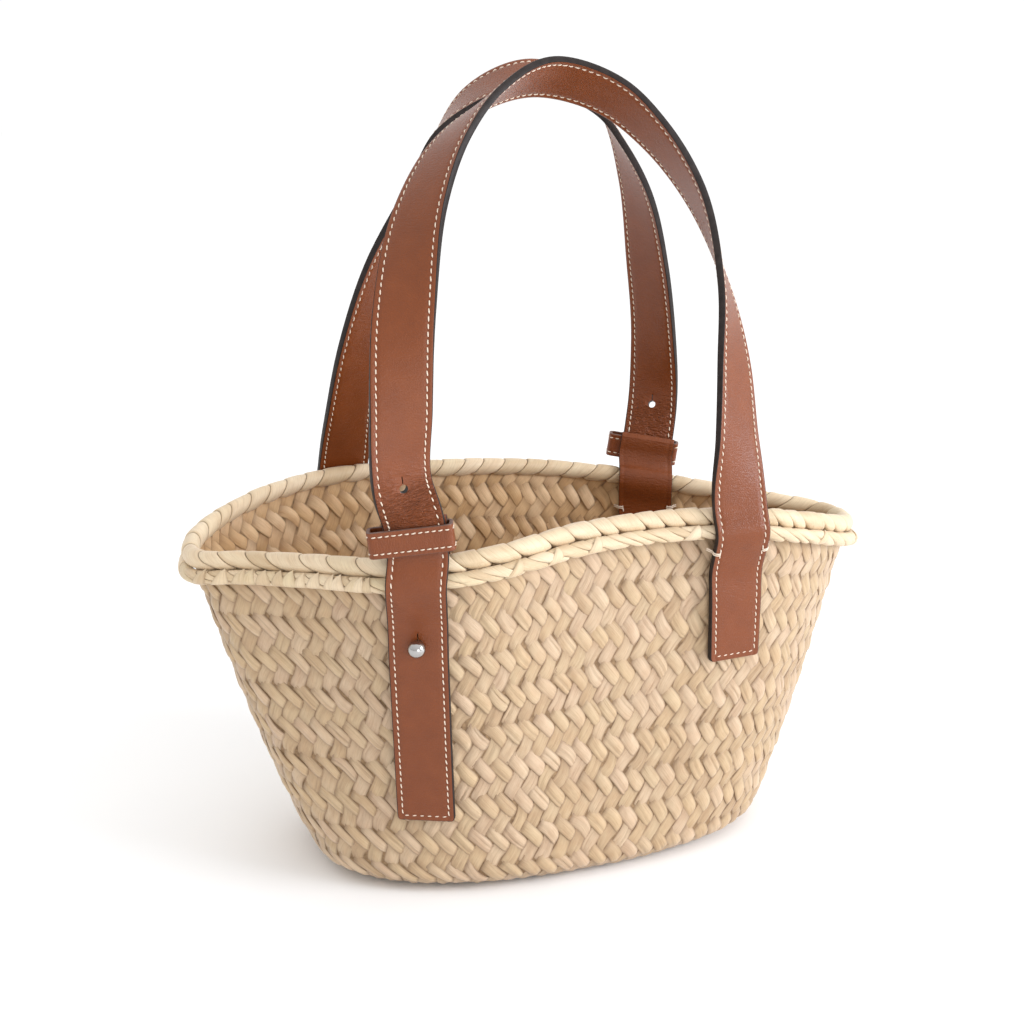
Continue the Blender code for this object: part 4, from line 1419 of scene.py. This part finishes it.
def add_keeper(handle):
    """The keeper's band, stitched along both edges, closed round strap and tab."""
    centres, outward, up = keeper_route(handle)
    half = KEEPER_HEIGHT / 2
    groove = half - 0.0026
    section = strip_section(KEEPER_HEIGHT, KEEPER_THICKNESS, groove, KEEPER_GROOVE_DEPTH, 0.0006)
    xs, ys, paint = section_arrays(section)
    points = (
        centres[:, None, :] + up[None, None, :] * xs[None, :, None]
        + outward[:, None, :] * ys[None, :, None]
    )
    rows, columns = len(centres), len(xs)
    faces = grid_faces(rows, columns, close_rows=True, close_columns=True)
    walked = np.concatenate([
        [0.0], np.cumsum(np.linalg.norm(np.roll(centres, -1, 0) - centres, axis=1)),
    ])
    uv = np.stack(np.broadcast_arrays(
        walked[:-1, None] * 100 + 7.0, xs[None, :] * 100
    ), axis=-1).reshape(-1, 2)
    keeper = make_mesh(
        handle.name + "_keeper_leather", points.reshape(-1, 3), faces,
        [leather, leather_raw], slots=np.tile(np.minimum(paint, np.roll(paint, -1)), rows),
        uv=uv, mark=np.full(rows * columns, 0.10), sharp=35.0,
    )
    finish_piece(keeper, "tan_leather", handle.name + "_keeper")
    total = walked[-1]
    count = round(total / KEEPER_STITCH_PITCH)
    places = (np.arange(count) + 0.5) * total / count
    loop = np.vstack([centres, centres[:1]])
    facing = np.vstack([outward, outward[:1]])
    at = np.stack([np.interp(places, walked, loop[:, k]) for k in range(3)], axis=-1)
    face = unit(np.stack([np.interp(places, walked, facing[:, k]) for k in range(3)], axis=-1))
    along = unit(np.cross(up[None, :], face))
    lift = KEEPER_THICKNESS / 2 - KEEPER_GROOVE_DEPTH + STITCH_STAND
    stitched = [(at + face * lift + up * reach, along, face) for reach in (-groove, groove)]
    add_stitches(
        handle.name + "_keeper_stitches", *(np.concatenate(p) for p in zip(*stitched)),
        KEEPER_STITCH_LENGTH, STITCH_THICKNESS, tilt=6.0,
    )


def add_tab(handle):
    """The tab inside the wall, folded over the keeper, sewn below the rim."""
    route = tab_route(handle)
    total = route.knots[-1]
    corner, bevel = 0.0024, 0.0004
    places = strip_places(total, 0.0016, corner, bevel)
    groove = TAB_WIDTH / 2 - 0.0030
    section = strip_section(TAB_WIDTH, TAB_THICKNESS, groove, TAB_GROOVE_DEPTH, 0.0005)
    tab = sweep_strip(
        handle.name + "_tab_leather", route, places, section,
        end_shrink(places, total, corner, bevel), [leather, leather_edge],
        np.full(len(places), 0.14),
    )
    finish_piece(tab, "tan_leather", handle.name + "_tab")
    inner = np.sign(
        route_spots(route, [total - 0.01]).face[0] @ leg_frame(leg_angle(handle, -1), 0.05).out
    )
    sewn = total - (TAB_DROP - 0.024)
    run = np.arange(sewn, total - 0.0045, STITCH_PITCH)
    lift = TAB_THICKNESS / 2 - TAB_GROOVE_DEPTH + STITCH_STAND
    parts = [seam(route, run, offset, lift, -inner) for offset in (-groove, groove)]
    parts.append(cross_seam(route, total - STITCH_INSET, groove, lift, -inner))
    add_stitches(
        handle.name + "_tab_stitches", *(np.concatenate(p) for p in zip(*parts)),
        STITCH_LENGTH, STITCH_THICKNESS,
    )
    spots = route_spots(route, [sewn - 0.002])
    add_edge_threads(
        handle.name + "_tab_thread", spots.centre[0], spots.along[0], spots.across[0],
        -inner * spots.face[0], TAB_WIDTH / 2, TAB_THICKNESS, groove,
    )


def add_stud(handle):
    """The ball stud: ball, waisted post and disc, turned about its axis."""
    there = leg_frame(leg_angle(handle, -1), STUD_DROP)
    ball = STUD_BALL_DIAMETER / 2
    post = STUD_POST_DIAMETER / 2
    seat = 2 * CLEARANCE + STRAP_EASE + STRAP_THICKNESS
    neck = math.acos(post / ball)
    centre = seat + ball * math.sin(neck)
    disc_top = -(WALL + tab_gap(handle) + TAB_THICKNESS + CLEARANCE)
    disc_bottom = disc_top - STUD_BASE_THICKNESS
    profile = []
    steps = 22
    for i in range(steps + 1):
        turn = math.pi / 2 - (math.pi / 2 + neck) * i / steps
        profile.append((ball * math.cos(turn) if i else 0.0, centre + ball * math.sin(turn)))
    rim = STUD_BASE_DIAMETER / 2
    fine = 0.0003
    profile += [
        (post, seat - 0.0010), (post, disc_top + fine), (post + fine, disc_top),
        (rim - fine, disc_top), (rim, disc_top - fine), (rim, disc_bottom + fine),
        (rim - fine, disc_bottom), (rim * 0.55, disc_bottom - 0.0001), (0.0, disc_bottom),
    ]
    sides = 40
    side = unit(np.cross(there.up, there.out))
    up = np.cross(there.out, side)
    points = [there.point + there.out * profile[0][1]]
    for radius, height in profile[1:-1]:
        for j in range(sides):
            turn = 2 * math.pi * j / sides
            points.append(
                there.point + there.out * height
                + (side * math.cos(turn) + up * math.sin(turn)) * radius
            )
    points.append(there.point + there.out * profile[-1][1])
    rings = len(profile) - 2
    faces = (grid_faces(rings, sides, close_columns=True)[:, ::-1] + 1).tolist()
    last = len(points) - 1
    for j in range(sides):
        k = (j + 1) % sides
        faces.append([0, 1 + j, 1 + k])
        faces.append([last, last - sides + k, last - sides + j])
    stud = make_mesh(handle.name + "_stud_steel", points, faces, [steel], sharp=30.0)
    finish_piece(stud, "polished_steel", handle.name + "_stud")


# Stage, lights and camera

def add_stage():
    """The plain pale floor."""
    side = 12.0
    finish = noise_material("pale_floor", [
        (0.3, (0.95, 0.95, 0.95)), (0.7, (0.97, 0.97, 0.97)),
    ], 0.9, 6.0, 0.0001, specular=0.0)
    corners = [(-side, -side, 0.0), (side, -side, 0.0), (side, side, 0.0), (-side, side, 0.0)]
    floor = make_mesh("floor", corners, [(0, 1, 2, 3)], [finish])
    floor.location.z = -0.0006


def add_studio_sky():
    """A white room, a little brighter above, behind the bag and on its right."""
    world = bpy.data.worlds.new("studio")
    world.use_nodes = True
    tree = world.node_tree
    sky = tree.nodes["Background"]
    place = tree.nodes.new("ShaderNodeTexCoord")
    axes = tree.nodes.new("ShaderNodeSeparateXYZ")
    tree.links.new(place.outputs["Generated"], axes.inputs[0])
    level = None
    for axis, share in (("X", 0.12), ("Y", 0.07), ("Z", 0.26)):
        step = tree.nodes.new("ShaderNodeMath")
        step.operation = "MULTIPLY_ADD"
        step.inputs[1].default_value = share
        step.inputs[2].default_value = 0.94
        tree.links.new(axes.outputs[axis], step.inputs[0])
        if level is not None:
            tree.links.new(level, step.inputs[2])
        level = step.outputs[0]
    sky.inputs["Color"].default_value = (1.0, 1.0, 1.0, 1.0)
    tree.links.new(level, sky.inputs["Strength"])
    bpy.context.scene.world = world
    bpy.context.scene.view_settings.view_transform = "Standard"


def add_light(name, place, aim, size, power, colour=(1.0, 1.0, 1.0)):
    """A square soft box at a place, pointed at a point of the bag."""
    lamp = bpy.data.lights.new(name, "AREA")
    lamp.shape = "SQUARE"
    lamp.size = size
    lamp.energy = power
    lamp.color = colour
    made = bpy.data.objects.new(name, lamp)
    bpy.context.scene.collection.objects.link(made)
    back = unit(np.array(place, float) - np.array(aim, float))
    side = unit(np.cross([0.0, 0.0, 1.0], back))
    up = np.cross(back, side)
    made.matrix_world = placement(side, up, back, place)


CAMERA_AZIMUTH = -18.0
CAMERA_ELEVATION = 15.0
CAMERA_DISTANCE = 0.961
CAMERA_LENS = 57.5
CAMERA_TARGET = (-0.0116, 0.0038, 0.194)


def add_camera():
    """The camera, at the photo's angle to the bag."""
    azimuth, elevation = math.radians(CAMERA_AZIMUTH), math.radians(CAMERA_ELEVATION)
    back = np.array([
        math.sin(azimuth) * math.cos(elevation), -math.cos(azimuth) * math.cos(elevation),
        math.sin(elevation),
    ])
    side = np.array([math.cos(azimuth), math.sin(azimuth), 0.0])
    up = np.cross(back, side)
    lens = bpy.data.cameras.new("camera")
    lens.lens = CAMERA_LENS
    lens.sensor_width = 36.0
    lens.clip_start = 0.05
    lens.clip_end = 20.0
    camera = bpy.data.objects.new("camera", lens)
    bpy.context.scene.collection.objects.link(camera)
    place = np.array(CAMERA_TARGET) + back * CAMERA_DISTANCE
    camera.matrix_world = placement(side, up, back, place)
    bpy.context.scene.camera = camera


add_camera()
add_stage()
add_studio_sky()
middle = (0.0, 0.0, 0.18)
add_light("key", (1.40, -1.05, 0.80), middle, 0.8, 23.0, (0.94, 0.98, 1.06))
add_light("front", (0.1, -1.7, 0.25), middle, 0.8, 5.0)
add_braid()
add_core()
add_wound(
    "rim_roll_wraps", "rim_roll", RIM_ROLL_DIAMETER, -WALL / 2, RIM_ROLL_DIAMETER / 2,
    wrap=0.0145, slant=0.0042, sides=28, scallop=0.09,
)
cord_standoff, cord_drop = cord_place()
add_wound(
    "rim_cord_wraps", "rim_cord", RIM_CORD_DIAMETER, cord_standoff, cord_drop,
    wrap=0.0115, slant=0.0075, sides=22, scallop=0.07,
)
add_rim_tips()
add_centre_seam()
for handle in HANDLES:
    route, total = add_strap(handle)
    add_fixed_threads(handle, route, total)
    add_keeper(handle)
    add_tab(handle)
    add_stud(handle)
